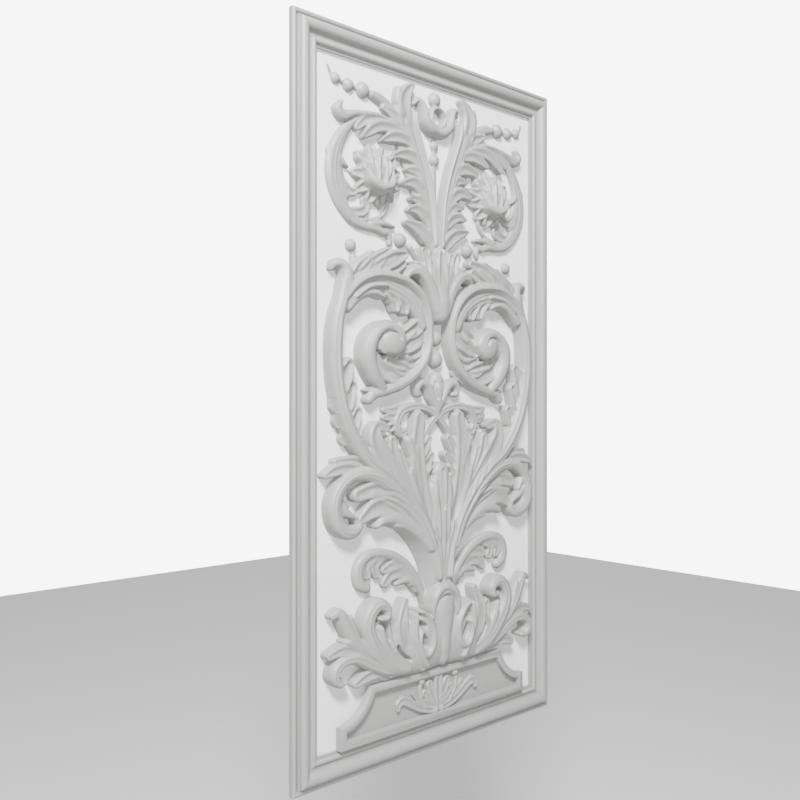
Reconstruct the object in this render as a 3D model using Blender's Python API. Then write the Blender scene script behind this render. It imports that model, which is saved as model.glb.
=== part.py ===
"""Carved wall panel: a planted moulding frame on a ground board, a plinth and one symmetrical carving.

Metres, +Z up, the front faces -Y. The origin lies at the middle of the ground board's back face.
"""
import math

import bmesh
import bpy
import numpy as np
from mathutils import Vector
from mathutils.geometry import delaunay_2d_cdt

# Overall sizes
PANEL_H = 1.200
PANEL_W = 0.618
BOARD_T = 0.006
BOARD_INSET = 0.015
GAP = 0.0003
# Moulding and depths are in this unit, the carving in shares of the opening inside the moulding
FRAME_UNIT = 0.001
FRAME_WIDTH = 49.2 * FRAME_UNIT
UNIT_X = (PANEL_W / 2 - FRAME_WIDTH) / 259.8
UNIT_Z = (PANEL_H / 2 - FRAME_WIDTH) / 550.8

# Carving: grid of the faceted face, share of facets kept, play of the outline and least height at the outline
GRID = 3.0
KEEP = 0.036
SLACK = 1.0
LOW = 1.2
LEAF_FULLNESS = 1.2
LEAF_BLUNT = 2.0

# Frame moulding: distance in from the outer edge and height above the board, in frame units
MOULDING = [
    (0.0, 8.9), (2.5, 11.0), (6.0, 10.5), (9.4, 6.1), (9.4, 10.9), (12.3, 10.9), (12.3, 16.3),
    (15.0, 19.0), (19.0, 20.0), (23.5, 18.8), (27.0, 16.0), (29.4, 10.0), (33.0, 9.2), (37.4, 9.7),
    (38.6, 11.4), (40.5, 12.0), (43.0, 11.0), (44.8, 8.8), (44.8, 5.6), (49.2, 5.6),
]

# Plinth, in units from the panel's centre
PLINTH_T = 19.0
PLINTH_BOTTOM = -549.6
PLINTH_TOP = -460.0
PLINTH_HALF = 222.0
PLINTH_EAR = -513.0
SHOULDER_X = 228.0
SHOULDER_Z = -443.0
SUNK = 10.0
MARGIN = 12.0

# Beads: centre and radius, in units
CENTRE_BEADS = [("bead_upper", 0.0, 110.6, 14.9), ("bead_lower", 0.0, 74.0, 16.4)]
SIDE_BALLS = [("ball_calyx", 82.2, 272.5, 13.2), ("ball_stem", 190.0, 252.0, 10.9)]


# Colours are linear
CARVING_GREY = (0.48, 0.48, 0.475, 1.0)
BOARD_WHITE = (0.85, 0.85, 0.84, 1.0)

strokes = []


def band(points, widths, crest, edge=0.0, form="round"):
    """One carved lobe: a smooth line, its half-widths, crest height, edge heights and form across."""
    if form == "scoop":
        widths = [width * LEAF_FULLNESS for width in widths]
        widths[-1] += LEAF_BLUNT
        if not isinstance(crest, list):
            root = max(edge) if isinstance(edge, tuple) else edge
            crest = [root + 1.0, crest, crest, 0.92 * crest]
    strokes.append((points, widths, crest, edge, form))


def ball(x, z, radius, crest=None, edge=0.5):
    strokes.append(([(x, z)], [radius], radius if crest is None else crest, edge, "round"))


def cut(points, widths, floor):
    """A hollow sunk down to one height above the board."""
    strokes.append((points, widths, floor, 0.0, "cut"))


def bead_string():
    band([(-236, 531), (-233, 524), (-229, 517)], [1.5, 2, 2.5], 3, 1.5)
    band([(-229, 517), (-220, 513), (-195, 508), (-165, 506), (-147, 503)], [2.5, 3, 3, 3, 3], 5, 2)
    ball(-220.8, 513, 9.3, 9)
    ball(-194.8, 508, 11.2, 11)
    ball(-165.3, 506.5, 13.7, 13)
    band([(-147.5, 503), (-133, 501), (-115, 495), (-97, 486), (-83, 475), (-68, 455)],
         [7, 10.5, 9.5, 7, 5, 4], 11, 1.5)


def plume():
    band([(-12, 262), (-17, 300), (-27, 350), (-42, 400), (-60, 440), (-74, 470)],
         [6, 8, 10, 12, 13, 10], 15, 8)
    band([(-68, 455), (-79, 485), (-80, 512), (-70, 529), (-60, 537)], [12, 14, 12, 8, 2], 20, 11,
         "scoop")
    band([(-86, 486), (-93, 508), (-93, 526)], [9, 7, 3], 16, 11)
    band([(-74, 466), (-100, 477), (-124, 487)], [8, 9, 2], 17, 8, "scoop")
    band([(-100, 464), (-138, 464), (-164, 457), (-181, 442)], [4, 7, 8, 3], 16, 8, "scoop")
    band([(-75, 447), (-105, 455), (-135, 452), (-155, 441), (-168, 429)], [5, 8, 9, 8, 2], 18, (8, 14),
         "scoop")
    band([(-60, 436), (-85, 442), (-107, 440), (-127, 431)], [6, 9, 9, 2], 19, (8, 14), "scoop")
    band([(-42, 404), (-62, 415), (-82, 416), (-100, 411)], [7, 10, 9, 2], 19, (7, 14), "scoop")
    band([(-36, 382), (-54, 393), (-72, 393)], [6, 7, 2], 16, (7, 14), "scoop")
    band([(-28, 350), (-45, 366), (-62, 372), (-82, 367)], [7, 10, 9, 2], 19, (7, 14), "scoop")
    band([(-24, 332), (-44, 345), (-62, 345)], [6, 7, 2], 16, (7, 14), "scoop")
    band([(-18, 304), (-36, 321), (-52, 328), (-67, 325)], [7, 9, 8, 2], 18, (7, 14), "scoop")
    band([(-14, 262), (-28, 282), (-48, 296), (-74, 303)], [7, 11, 10, 2], 19, (7, 14), "scoop")
    band([(-56, 490), (-53, 467), (-39, 430), (-27, 400), (-15, 355), (-9, 300), (-8.5, 272)],
         [6, 6, 6, 6, 5.5, 5.5, 5.5], 20, (2, 9))
    band([(-213, 477), (-221, 464), (-209, 456), (-186, 463), (-160, 468), (-130, 470), (-100, 463),
         (-75, 448)],
         [3, 8, 10, 6, 5, 4.5, 4, 4], 15, 6)


def ring():
    band([(-176, 460), (-198, 440), (-213, 420), (-222, 400), (-227, 378), (-227, 355), (-221, 335),
         (-211, 318),
          (-196, 301), (-180, 291), (-160, 286), (-138, 285), (-120, 279)],
         [3, 8, 11, 13, 14, 13.5, 13, 12, 10, 9, 7, 7, 6], 11, 3)
    band([(-228, 395), (-220, 365), (-212, 345), (-202, 330)], [12, 14, 12, 8], 9, 3)
    band([(-222, 394), (-209, 382), (-198, 375)], [8, 6, 2], 10, 3)
    band([(-226, 375), (-214, 352), (-201, 340), (-187, 337), (-176, 346)], [9, 10, 9, 6, 2], 13, 3,
         "scoop")
    band([(-207, 306), (-185, 306), (-168, 309), (-160, 317), (-163, 328)], [5, 7, 8, 8, 4], 12, 3,
         "scoop")
    band([(-150, 290), (-125, 295), (-99, 292.5)], [6, 6, 3], 11, 4)
    band([(-125, 283), (-111, 280), (-106, 272), (-108, 263)], [5, 7, 6, 4], 9, 3)
    band([(-112, 345), (-112, 325), (-121, 311), (-135, 302), (-155, 297), (-175, 294)], [3.5], 8, 2)


def rosette():
    middle = (-140, 366)
    for x, z, wide in ((-191, 370, 10), (-182, 341, 10), (-157, 324, 11), (-129, 321, 11),
                       (-103, 335, 11),
                       (-86, 358, 10), (-87, 385, 9)):
        half = (0.42 * middle[0] + 0.58 * x, 0.42 * middle[1] + 0.58 * z)
        tip = (0.12 * middle[0] + 0.88 * x, 0.12 * middle[1] + 0.88 * z)
        band([middle, half, tip, (x, z)], [8, wide, wide - 3, 1], [26, 23, 17, 10], 4, "scoop")
    for x, z, wide in ((-181, 402, 10), (-156, 417, 10), (-125, 418, 10), (-100, 405, 10)):
        half = (0.42 * middle[0] + 0.58 * x, 0.42 * middle[1] + 0.58 * z)
        tip = (0.1 * middle[0] + 0.9 * x, 0.1 * middle[1] + 0.9 * z)
        band([middle, half, tip, (x, z)], [8, wide, wide - 2, 1], [29, 28, 22, 15], 8, "scoop")
    root = (-142, 352)
    for x, z, wide, crest in ((-174, 386, 10, 32), (-112, 386, 10, 32), (-160, 399, 10, 35),
                              (-124, 399, 10, 35),
                              (-142, 402, 11, 38)):
        half = (0.4 * root[0] + 0.6 * x, 0.4 * root[1] + 0.6 * z)
        tip = (0.1 * root[0] + 0.9 * x, 0.1 * root[1] + 0.9 * z)
        band([root, half, tip, (x, z)], [9, wide, wide - 3, 1], [crest, crest, crest - 4, crest - 10],
             crest - 16,
             "scoop")
    band([(-170, 371), (-162, 356), (-142, 348), (-122, 355), (-113, 371)], [4, 8, 11, 8, 4],
         [28, 34, 38, 34, 28], 16)


def tulip():
    ball(0, 527.5, 13.5, 13)
    band([(0, 470), (-16, 472), (-28, 483), (-33, 498), (-38, 511), (-47, 516), (-53, 509)],
         [9, 11, 11, 9, 8, 7, 4], [17, 20, 21, 20, 18, 15, 11], 3)
    band([(0, 476), (-12, 482), (-17, 495), (-11, 507), (0, 511)], [5, 5, 4.5, 4.5, 4.5], 17, 5)
    ball(0, 447, 9.5, 9)
    ball(0, 422, 11, 11)
    band([(0, 470), (0, 262)], [4.8], 5.5, 1.5, "flute")


def fingers():
    band([(-184.5, 232.5), (-184, 222), (-186, 208)], [7, 7, 3], 8, 2)
    band([(-60.5, 263), (-50, 252), (-40, 240)], [6, 5, 4], 9, 2)


def outer_stem():
    band([(-233, 211), (-229, 217), (-220, 219), (-210, 213), (-206, 195), (-212, 168)],
         [5, 8, 9, 11, 13, 12],
         [14, 18, 20, 22, 25, 26], 8)
    band([(-211, 195), (-216, 165), (-226, 135), (-231, 100), (-231, 60), (-226, 20), (-214, -20),
         (-196, -55),
          (-175, -82), (-155, -100), (-125, -118), (-95, -142), (-65, -172), (-40, -208), (-22, -250),
          (-12, -300)],
         [9, 11, 12, 13, 13, 13, 14, 14, 14, 13, 13, 13, 12, 11, 10, 10],
         [24, 26, 28, 29, 29, 29, 29, 29, 29, 29, 30, 31, 32, 33, 34, 36], (8, 17))


def upper_leaf():
    band([(-205, 160), (-180, 183), (-150, 194), (-115, 192), (-80, 178), (-55, 155), (-42, 130)],
         [11, 14, 16, 16, 15, 13, 9], 23, 15)
    band([(-200, 186), (-180, 212), (-152, 240)], [9, 14, 4], 25, 12, "scoop")
    band([(-192, 192), (-155, 222), (-120, 250)], [9, 15, 3], 26, 12, "scoop")
    band([(-182, 196), (-138, 222), (-106, 238), (-82, 247)], [8, 13, 13, 5], 27, 12, "scoop")
    band([(-165, 202), (-125, 217), (-100, 224), (-84, 231)], [8, 10, 9, 4], 24, 12, "scoop")
    band([(-215, 165), (-190, 190), (-150, 206), (-95, 204), (-65, 192), (-43, 173), (-31, 148),
         (-28, 120),
          (-30, 95), (-40, 71), (-60, 49), (-90, 31), (-125, 19), (-155, 12)],
         [9, 10, 10, 9, 9, 9, 9, 9, 9, 10, 10, 10, 9, 7],
         [27, 29, 31, 31, 31, 31, 29, 27, 27, 27, 27, 25, 23, 20], (15, 6))
    band([(-135, 20), (-152, 11), (-160, 4)], [8, 9, 8], 20, 12)
    band([(-150, 20), (-167, 19)], [6, 2], 15, 11)
    band([(-207, 150), (-195, 162), (-175, 174), (-152, 178), (-132, 172)], [9, 9, 8, 7, 4], 24, 14)
    band([(-195, 168), (-165, 186), (-128, 191)], [5, 6, 4], 28, 16)
    band([(-150, 192), (-122, 185), (-107, 171), (-103, 156)], [7, 11, 11, 6], 28, 11, "scoop")
    band([(-126, 197), (-101, 185), (-87, 169), (-82, 153)], [7, 11, 11, 6], 28, 11, "scoop")
    band([(-98, 198), (-70, 183), (-57, 167), (-53, 152)], [7, 10, 9, 5], 28, 12, "scoop")


def volute():
    band([(-135, 24), (-153, 44), (-166, 72), (-163, 98), (-147, 117), (-125, 124), (-104, 117),
         (-95, 103)],
         [10, 14, 16, 15, 12, 11, 11, 10], [24, 28, 31, 33, 33, 33, 33, 32], 14)
    band([(-136, 93), (-126, 105), (-112, 103)], [13, 17, 20], 27, 25)
    ball(-115, 101, 25, 36, 26)
    cut([(-147, 84), (-149, 98), (-141, 110), (-127, 115), (-114, 113), (-107, 103)],
        [2.4, 2.2, 2, 1.8, 1.5, 1], 26)
    band([(-50, 52), (-80, 42), (-115, 46), (-138, 57), (-150, 74)], [10, 14, 15, 13, 6], 27, 10,
         "scoop")
    band([(-60, 50), (-92, 56), (-120, 68)], [9, 13, 6], 26, 10, "scoop")
    band([(-46, 64), (-70, 66), (-94, 72)], [9, 10, 6], 25, 10, "scoop")
    band([(-36, 142), (-52, 128), (-70, 117), (-86, 112)], [8, 13, 12, 5], 27, 9, "scoop")
    band([(-33, 124), (-56, 106), (-76, 94), (-92, 86)], [10, 15, 13, 5], 28, 9, "scoop")
    band([(-32, 104), (-50, 88), (-72, 76)], [9, 12, 6], 26, 9, "scoop")
    band([(-226, -6), (-220, 22), (-212, 44), (-203, 60)], [9, 14, 16, 8], 28, 11, "scoop")
    band([(-220, -30), (-208, -2), (-197, 24)], [9, 14, 8], 27, 10, "scoop")
    band([(-207, -58), (-195, -36), (-185, -16)], [9, 13, 7], 26, 10, "scoop")


def fleuron():
    band([(0, -14), (0, 8), (0, 24), (0, 38)], [7, 14, 18, 14], [16, 20, 21, 18], 8)
    band([(0, -12), (-13, 10), (-26, 28), (-40, 33), (-49, 25), (-47, 14), (-39, 13)],
         [8, 10, 9, 9, 8, 6, 4], [17, 18, 18, 18, 17, 15, 13], 7)
    cut([(-9, 34), (-11, 22), (-5, 6)], [2.5, 3, 2], 12)
    for m in (1, -1):
        band([(m * -48, -100), (m * -38, -72), (m * -22, -45), (0, -25), (m * 22, -13), (m * 45, -8),
             (m * 62, -9),
              (m * 82, -15), (m * 93, -28), (m * 95, -42), (m * 86, -54), (m * 76, -50)],
             [6, 6, 6.5, 6.5, 7, 7.5, 8, 8, 8, 8, 9, 7], 15, 7, "flute")
    band([(-84, -14), (-104, -15), (-122, -13)], [8, 7, 2], 14, 7, "scoop")
    band([(-88, -22), (-107, -25), (-122, -26)], [8, 7, 2], 13, 7, "scoop")
    band([(-92, -32), (-112, -38)], [8, 3], 12, 7)
    band([(-92, -42), (-106, -48)], [6, 2], 11, 7)


def bouquet():
    band([(-10, -290), (-20, -230), (-36, -180), (-48, -140), (-55, -100), (-55, -65), (-49, -26)],
         [6, 8, 11, 14, 15, 13, 8], [29, 30, 29, 27, 26, 24, 22], (17, 17), "scoop")
    band([(-56, -110), (-66, -85), (-75, -64)], [10, 10, 7], 23, 15)
    band([(-50, -102), (-39, -84), (-24, -64)], [9, 10, 4], 23, 12, "scoop")
    band([(-46, -128), (-33, -110), (-18, -92)], [9, 10, 4], 23, 12, "scoop")
    band([(-42, -140), (-32, -122), (-20, -112)], [8, 7, 3], 21, 14)
    band([(0, -310), (0, -220), (0, -160), (0, -122)], [8, 11, 15, 18], [30, 31, 30, 28], 18)
    band([(-6, -300), (-10, -220), (-16, -170), (-16, -135)], [6, 8, 9, 7], [29, 31, 30, 27], 18)
    cut([(0, -118), (0, -150), (0, -185)], [3, 2.6, 1.6], 22)
    band([(-8, -190), (-22, -155), (-32, -126)], [8, 10, 4], 24, 15, "scoop")
    band([(-10, -225), (-26, -192), (-35, -166)], [8, 9, 4], 25, 15, "scoop")
    band([(-35, -210), (-70, -160), (-112, -113), (-138, -84), (-151, -58), (-145, -40), (-126, -43)],
         [7, 10, 14, 16, 12, 8, 4], [33, 31, 29, 28, 27, 24, 20], 18, "scoop")
    band([(-60, -170), (-90, -128), (-106, -95), (-113, -64)], [8, 11, 11, 6], 27, 17, "scoop")
    band([(-52, -175), (-78, -135), (-90, -108), (-97, -85)], [7, 10, 10, 5], 26, 17, "scoop")
    band([(-40, -195), (-60, -155), (-74, -118)], [7, 9, 7], 26, 17)


def lower_scroll():
    band([(-165, -104), (-195, -95), (-228, -94)], [7, 8, 3], 21, 13, "scoop")
    band([(-160, -112), (-205, -105), (-232, -108), (-251, -115)], [7, 9, 8, 2], 22, 14, "scoop")
    band([(-30, -250), (-50, -210), (-88, -165), (-125, -134), (-160, -118), (-195, -118), (-222, -133),
         (-235, -160),
          (-231, -188), (-215, -204), (-197, -206), (-185, -197), (-190, -188)],
         [8, 10, 12, 13, 12, 10, 11, 12, 12, 12, 11, 8, 4],
         [34, 32, 31, 30, 29, 28, 28, 28, 28, 28, 27, 25, 22], (19, 16))
    band([(-228, -140), (-218, -150), (-208, -165)], [9, 7, 3], 23, 15)
    band([(-226, -165), (-210, -176), (-191, -185)], [9, 8, 3], 23, 15)
    band([(-228, -172), (-222, -182), (-223, -192)], [7, 6, 3], 22, 15)
    band([(-40, -225), (-62, -190), (-95, -157), (-128, -143), (-160, -143), (-186, -149)],
         [6, 8, 9, 11, 12, 8], [32, 30, 29, 28, 27, 24], 17, "scoop")
    band([(-35, -245), (-60, -212), (-92, -184), (-130, -172), (-155, -174), (-177, -187)],
         [6, 10, 14, 16, 14, 6], [33, 32, 30, 29, 28, 24], 17, "scoop")
    band([(-50, -228), (-75, -208), (-105, -194), (-132, -193), (-150, -201)], [7, 11, 12, 11, 5], 27,
         16)
    band([(-45, -235), (-75, -212), (-108, -204)], [8, 9, 5], 26, 16)
    band([(-22, -325), (-22, -290), (-27, -262), (-42, -240), (-64, -223), (-92, -209)],
         [13, 16, 21, 20, 14, 6], [26, 27, 28, 28, 27, 25], (1.5, 20), "keel")
    band([(-4, -330), (-6, -290), (-12, -250), (-24, -215)], [17, 16, 15, 10], [27, 29, 31, 31], 20)
    band([(-12, -330), (-15, -285), (-26, -248), (-50, -215)], [8, 8, 8, 7], [27, 30, 32, 32], 20)


def sprig():
    band([(-30, -345), (-46, -306), (-70, -277), (-97, -259), (-125, -250), (-152, -249), (-171, -259),
         (-178, -277),
          (-173, -295), (-161, -302)], [7, 8, 8, 8, 8, 8, 9, 10, 10, 9], 14, 6)
    band([(-132, -252), (-153, -259), (-162, -270), (-158, -282)], [7, 8, 7, 5], 14, 6, "scoop")
    band([(-112, -254), (-133, -259), (-143, -270), (-138, -283)], [7, 8, 7, 5], 14, 6, "scoop")
    band([(-72, -284), (-100, -273), (-121, -278)], [7, 8, 4], 14, 6, "scoop")
    band([(-58, -298), (-85, -286), (-107, -289), (-120, -300)], [7, 10, 9, 5], 14, 6, "scoop")
    band([(-48, -314), (-70, -301), (-96, -304)], [7, 8, 4], 13, 6)
    band([(-36, -330), (-54, -312), (-66, -310)], [6, 6, 3], 12, 6)


def cup():
    band([(-128, -428), (-95, -428), (-60, -424), (-28, -418)], [18, 27, 33, 38], [26, 30, 33, 34], 19)
    band([(-152, -365), (-146, -385), (-130, -410)], [10, 14, 14], 20, 14)
    band([(-70, -449), (-110, -443), (-150, -423), (-190, -401), (-220, -391), (-244, -396)],
         [5, 8, 9, 9, 8, 3], [27, 28, 28, 27, 26, 22], 18, "scoop")
    band([(-90, -450), (-130, -440), (-160, -425), (-190, -409), (-212, -407), (-231, -415),
         (-236, -430),
          (-226, -441), (-214, -440)], [5, 8, 10, 10, 9, 9, 9, 7, 4], 28, 18)
    band([(-125, -450), (-150, -441), (-172, -443), (-189, -450)], [6, 8, 8, 4], 26, 17, "scoop")
    band([(-150, -415), (-180, -395), (-200, -370), (-213, -347), (-224, -332), (-237, -335)],
         [8, 11, 11, 10, 8, 5], [28, 28, 27, 26, 24, 20], 17)
    band([(-192, -372), (-203, -341)], [8, 4], 24, 17)
    band([(-150, -410), (-190, -388), (-214, -378)], [8, 9, 4], 25, 17)
    band([(-85, -445), (-115, -435), (-142, -412), (-160, -388), (-170, -360), (-162, -338),
         (-145, -329),
          (-129, -338), (-131, -352), (-145, -352)], [10, 14, 15, 14, 13, 12, 11, 9, 7, 4], 32, 20)
    band([(-95, -438), (-120, -415), (-136, -392), (-143, -368)], [8, 10, 10, 6], 30, 18)
    band([(-72, -442), (-98, -418), (-112, -392), (-118, -366)], [8, 10, 9, 5], [32, 33, 32, 26], 18,
         "scoop")
    band([(-50, -446), (-76, -425), (-92, -395), (-96, -365), (-85, -333)], [9, 11, 12, 11, 3],
         [34, 36, 36, 34, 26], 20, "scoop")
    band([(-45, -445), (-62, -420), (-72, -390), (-70, -357)], [7, 9, 10, 6], 37, 20)
    band([(-60, -352), (-44, -364), (-31, -388), (-32, -412), (-44, -427), (-58, -422), (-64, -404),
         (-60, -385)],
         [5, 7, 8, 8, 7, 6, 5, 4], 39, 22)
    cut([(-55, -394), (-50, -404), (-46, -413)], [4, 7, 5], 12)
    cut([(-60, -372), (-50, -379)], [4, 3], 13)
    cut([(-107, -404), (-96, -420), (-82, -430)], [3, 4, 2], 16)
    band([(0, -334), (0, -356), (0, -378), (0, -402), (0, -422), (0, -437)], [22, 27, 22, 14, 17, 18],
         [37, 39, 39, 37, 36, 32], (22, 22))
    band([(-29, -368), (-31, -350), (-26, -333), (-14, -322), (0, -318)], [4, 6, 8, 9, 9],
         [34, 37, 39, 39, 39], 26)
    cut([(-13, -338), (-6, -334), (0, -333)], [1.6, 2.4, 2.8], 30)


def calyx():
    band([(0, 153), (0, 172), (0, 200), (0, 232), (0, 256)], [19, 21, 22, 22, 14], [31, 33, 28, 22, 18],
         13)
    band([(-10, 158), (-22, 188), (-36, 209), (-53, 221), (-69, 220), (-79, 211)],
         [12, 13, 12, 11, 10, 6],
         [30, 30, 30, 29, 27, 22], 13)
    band([(-30, 216), (-46, 230), (-60, 236)], [8, 7, 4], 24, 11)
    band([(-9, 166), (-21, 205), (-32, 236), (-41, 258)], [8, 12, 10, 4], 30, 13, "scoop")
    band([(-8, 172), (-18, 215), (-25, 254)], [7, 11, 4], [32, 32, 31, 27], 16, "scoop")
    band([(0, 168), (0, 214), (0, 256)], [7, 13, 8], [33, 33, 32, 30], 18, "scoop")
    cut([(0, 264)], [3.5], 16)


def bodies():
    band([(-24, 300), (-42, 350), (-64, 400), (-82, 440), (-82, 465)], [10, 12, 13, 12, 8], 9, 6)
    band([(-85, 450), (-120, 460), (-150, 456)], [8, 10, 6], 12, 9)
    band([(-208, 165), (-180, 195), (-145, 218), (-105, 235)], [8, 13, 15, 11], 19, 12)
    band([(-160, 190), (-125, 198), (-90, 185), (-65, 160)], [9, 12, 12, 9], 19, 12)
    band([(-45, 60), (-85, 45), (-125, 40)], [8, 11, 9], 17, 11)
    band([(-34, 130), (-50, 108), (-66, 95)], [10, 13, 8], 17, 11)
    band([(-212, -20), (-208, 10), (-206, 35)], [9, 10, 9], 18, 12)
    band([(-55, -190), (-80, -150), (-105, -115), (-125, -85)], [12, 17, 18, 12], 22, 15)
    band([(-50, -215), (-85, -180), (-120, -160), (-155, -150)], [12, 20, 22, 12], 23, 15)
    band([(-48, -160), (-56, -110), (-58, -80)], [10, 14, 10], 22, 15)
    band([(-50, -320), (-72, -288), (-100, -270)], [7, 11, 8], 10, 6)
    band([(-105, -253), (-135, -258), (-155, -264)], [5, 9, 9], 10, 6)
    band([(-165, -408), (-195, -397), (-220, -396)], [12, 13, 8], 22, 16)
    band([(-185, -398), (-205, -365), (-218, -345)], [12, 11, 8], 22, 16)
    band([(-130, -425), (-100, -400), (-92, -370)], [22, 26, 14], 28, 18)
    band([(-170, -352), (-157, -380), (-140, -405)], [10, 13, 14], 22, 16)
    band([(-30, -425), (-40, -385), (-50, -370)], [20, 24, 16], 34, 20)
    ball(-139, 371, 34, 25, 6)
    band([(0, -8), (-14, 12), (-22, 22)], [10, 12, 9], 15, 7)
    band([(0, 156), (-12, 195), (-20, 225)], [18, 17, 12], 26, 15)
    band([(-10, -310), (-14, -250), (-16, -200), (-14, -150)], [10, 16, 18, 16], 26, 16)


def carve_all():
    """Draw every lobe, the hidden bodies first."""
    bodies()
    bead_string()
    plume()
    ring()
    rosette()
    tulip()
    fingers()
    outer_stem()
    upper_leaf()
    volute()
    fleuron()
    bouquet()
    lower_scroll()
    sprig()
    cup()
    calyx()


def palmette():
    """The plinth's shell-shaped ornament, its left half."""
    base = PLINTH_T - SUNK
    top = PLINTH_T - 1.0
    shapes = []

    def leaf(points, widths, crest=top, edge=base + 3.0, form="round"):
        shapes.append((points, widths, crest, edge, form))

    leaf([(0, -532), (0, -508), (0, -480)], [8, 11, 10])
    leaf([(0, -530), (-13, -505), (-22, -487)], [7, 9.5, 8], top - 1.0)
    leaf([(0, -530), (-18, -513), (-34, -500)], [6, 9, 7], top - 2.0)
    leaf([(0, -530), (-18, -523), (-34, -516)], [6, 8, 6], top - 2.5)
    leaf([(-6, -533), (-22, -532), (-45, -524), (-70, -508), (-86, -501), (-95, -512)],
         [7, 6, 7, 8.5, 8, 4.5], top - 2.0)
    leaf([(-28, -525), (-45, -511), (-60, -495)], [5, 6, 3], top - 3.0)
    leaf([(-28, -525), (-41, -505), (-44, -486), (-41, -478)], [4, 4, 4, 3.5], top - 3.0)
    leaf([(-40.8, -478)], [6.5])
    leaf([(-7, -534)], [7.5])
    return shapes


def curve(points, steps=8):
    """Smooth line through the points, with the share of the way along at each sample."""
    p = np.asarray(points, float)
    if len(p) == 1:
        return p, np.zeros(1)
    ext = np.vstack([2 * p[0] - p[1], p, 2 * p[-1] - p[-2]])
    line = []
    for i in range(len(p) - 1):
        a, b, c, d = ext[i:i + 4]
        t = np.linspace(0.0, 1.0, steps, endpoint=False)[:, None]
        bend = (2 * a - 5 * b + 4 * c - d) * t ** 2 + (3 * b - a - 3 * c + d) * t ** 3
        line.append(b + 0.5 * ((c - a) * t + bend))
    line.append(p[-1:])
    line = np.vstack(line)
    return line, np.linspace(0.0, 1.0, len(line))


def along(values, share):
    v = np.atleast_1d(np.asarray(values, float))
    return np.interp(share, np.linspace(0.0, 1.0, len(v)), v)


def section(form, s):
    """Height share across a lobe, from its middle at 0 to its edge at 1."""
    r = np.sqrt(np.clip(1.0 - s * s, 0.0, 1.0))
    if form == "scoop":
        return r * (1.0 - 0.68 * np.clip(1.0 - (s / 0.75) ** 2, 0.0, 1.0))
    if form == "keel":
        return 1.0 - s
    if form == "flute":
        return r - 0.45 * np.exp(-(s / 0.25) ** 2)
    return r


def reach_of(stroke, x, z):
    """Inset from the lobe's edge, cross share, height and cover of one lobe at the points near it."""
    points, widths, crest, edge, form = stroke
    line, share = curve(points)
    w = along(widths, share)
    a = along(crest, share)
    left, right = edge if isinstance(edge, tuple) else (edge, edge)
    reach = w.max() + 8.0
    lo = line.min(axis=0) - reach
    hi = line.max(axis=0) + reach
    near = (x > lo[0]) & (x < hi[0]) & (z > lo[1]) & (z < hi[1])
    px = x[near]
    pz = z[near]
    best = np.hypot(px - line[0, 0], pz - line[0, 1])
    wide = np.full(px.shape, w[0])
    high = np.full(px.shape, a[0])
    side = np.ones(px.shape)
    for i in range(len(line) - 1):
        dx, dz = line[i + 1] - line[i]
        u = np.clip(((px - line[i, 0]) * dx + (pz - line[i, 1]) * dz) / (dx * dx + dz * dz), 0.0, 1.0)
        ex = px - line[i, 0] - u * dx
        ez = pz - line[i, 1] - u * dz
        d = np.hypot(ex, ez)
        k = d < best
        best[k] = d[k]
        wide[k] = (w[i] + u * (w[i + 1] - w[i]))[k]
        high[k] = (a[i] + u * (a[i + 1] - a[i]))[k]
        side[k] = np.sign(dx * ez - dz * ex)[k]
    s = np.clip(best / wide, 0.0, 1.0)
    low = 0.5 * (left + right) + 0.5 * (left - right) * side * s
    return near, wide - best, s, low + (high - low) * section(form, s), high


def relief(shapes, x, z):
    """Inset from the carving's outline and height of its face at each point."""
    inset = np.full(x.shape, -99.0)
    height = np.zeros(x.shape)
    rim = np.zeros(x.shape)
    cuts = []
    for stroke in shapes:
        near, gain, s, face, high = reach_of(stroke, x, z)
        if stroke[4] == "cut":
            cuts.append((near, s, high))
            continue
        height[near] = np.where(gain > 0, np.maximum(height[near], face), height[near])
        first = gain > inset[near]
        rim[near] = np.where(first, face, rim[near])
        inset[near] = np.maximum(inset[near], gain)
    height = np.where(inset > 0, height, rim)
    for near, s, floor in cuts:
        over = np.maximum(height[near] - floor, 0.0)
        height[near] = height[near] - over * np.sqrt(1.0 - s * s)
    return inset, np.maximum(height, LOW)


def facets(xs, zs, inset, height):
    """Corner points and faces of the part of a grid with a positive inset."""
    step = xs[1] - xs[0]
    least = 0.2 * step
    inset = np.where(np.abs(inset) < least, np.where(inset > 0, least, -least), inset)
    points = []
    index = {}

    def corner(i, k):
        key = (i, k)
        if key not in index:
            index[key] = len(points)
            points.append((xs[i], zs[k], height[k, i]))
        return index[key]

    def crossing(i, k, j, m):
        key = (i, k, j, m) if (i, k) < (j, m) else (j, m, i, k)
        if key not in index:
            t = inset[k, i] / (inset[k, i] - inset[m, j])
            index[key] = len(points)
            points.append((xs[i] + t * (xs[j] - xs[i]), zs[k] + t * (zs[m] - zs[k]),
                           height[k, i] + t * (height[m, j] - height[k, i])))
        return index[key]

    faces = []
    solid = inset > 0
    some = solid[:-1, :-1] | solid[1:, :-1] | solid[:-1, 1:] | solid[1:, 1:]
    for k, i in zip(*np.nonzero(some)):
        ring = [(i, k), (i + 1, k), (i + 1, k + 1), (i, k + 1)]
        face = []
        for a, b in zip(ring, ring[1:] + ring[:1]):
            if solid[a[1], a[0]]:
                face.append(corner(*a))
            if solid[a[1], a[0]] != solid[b[1], b[0]]:
                face.append(crossing(*a, *b))
        faces.append(face)
    return points, faces


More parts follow.
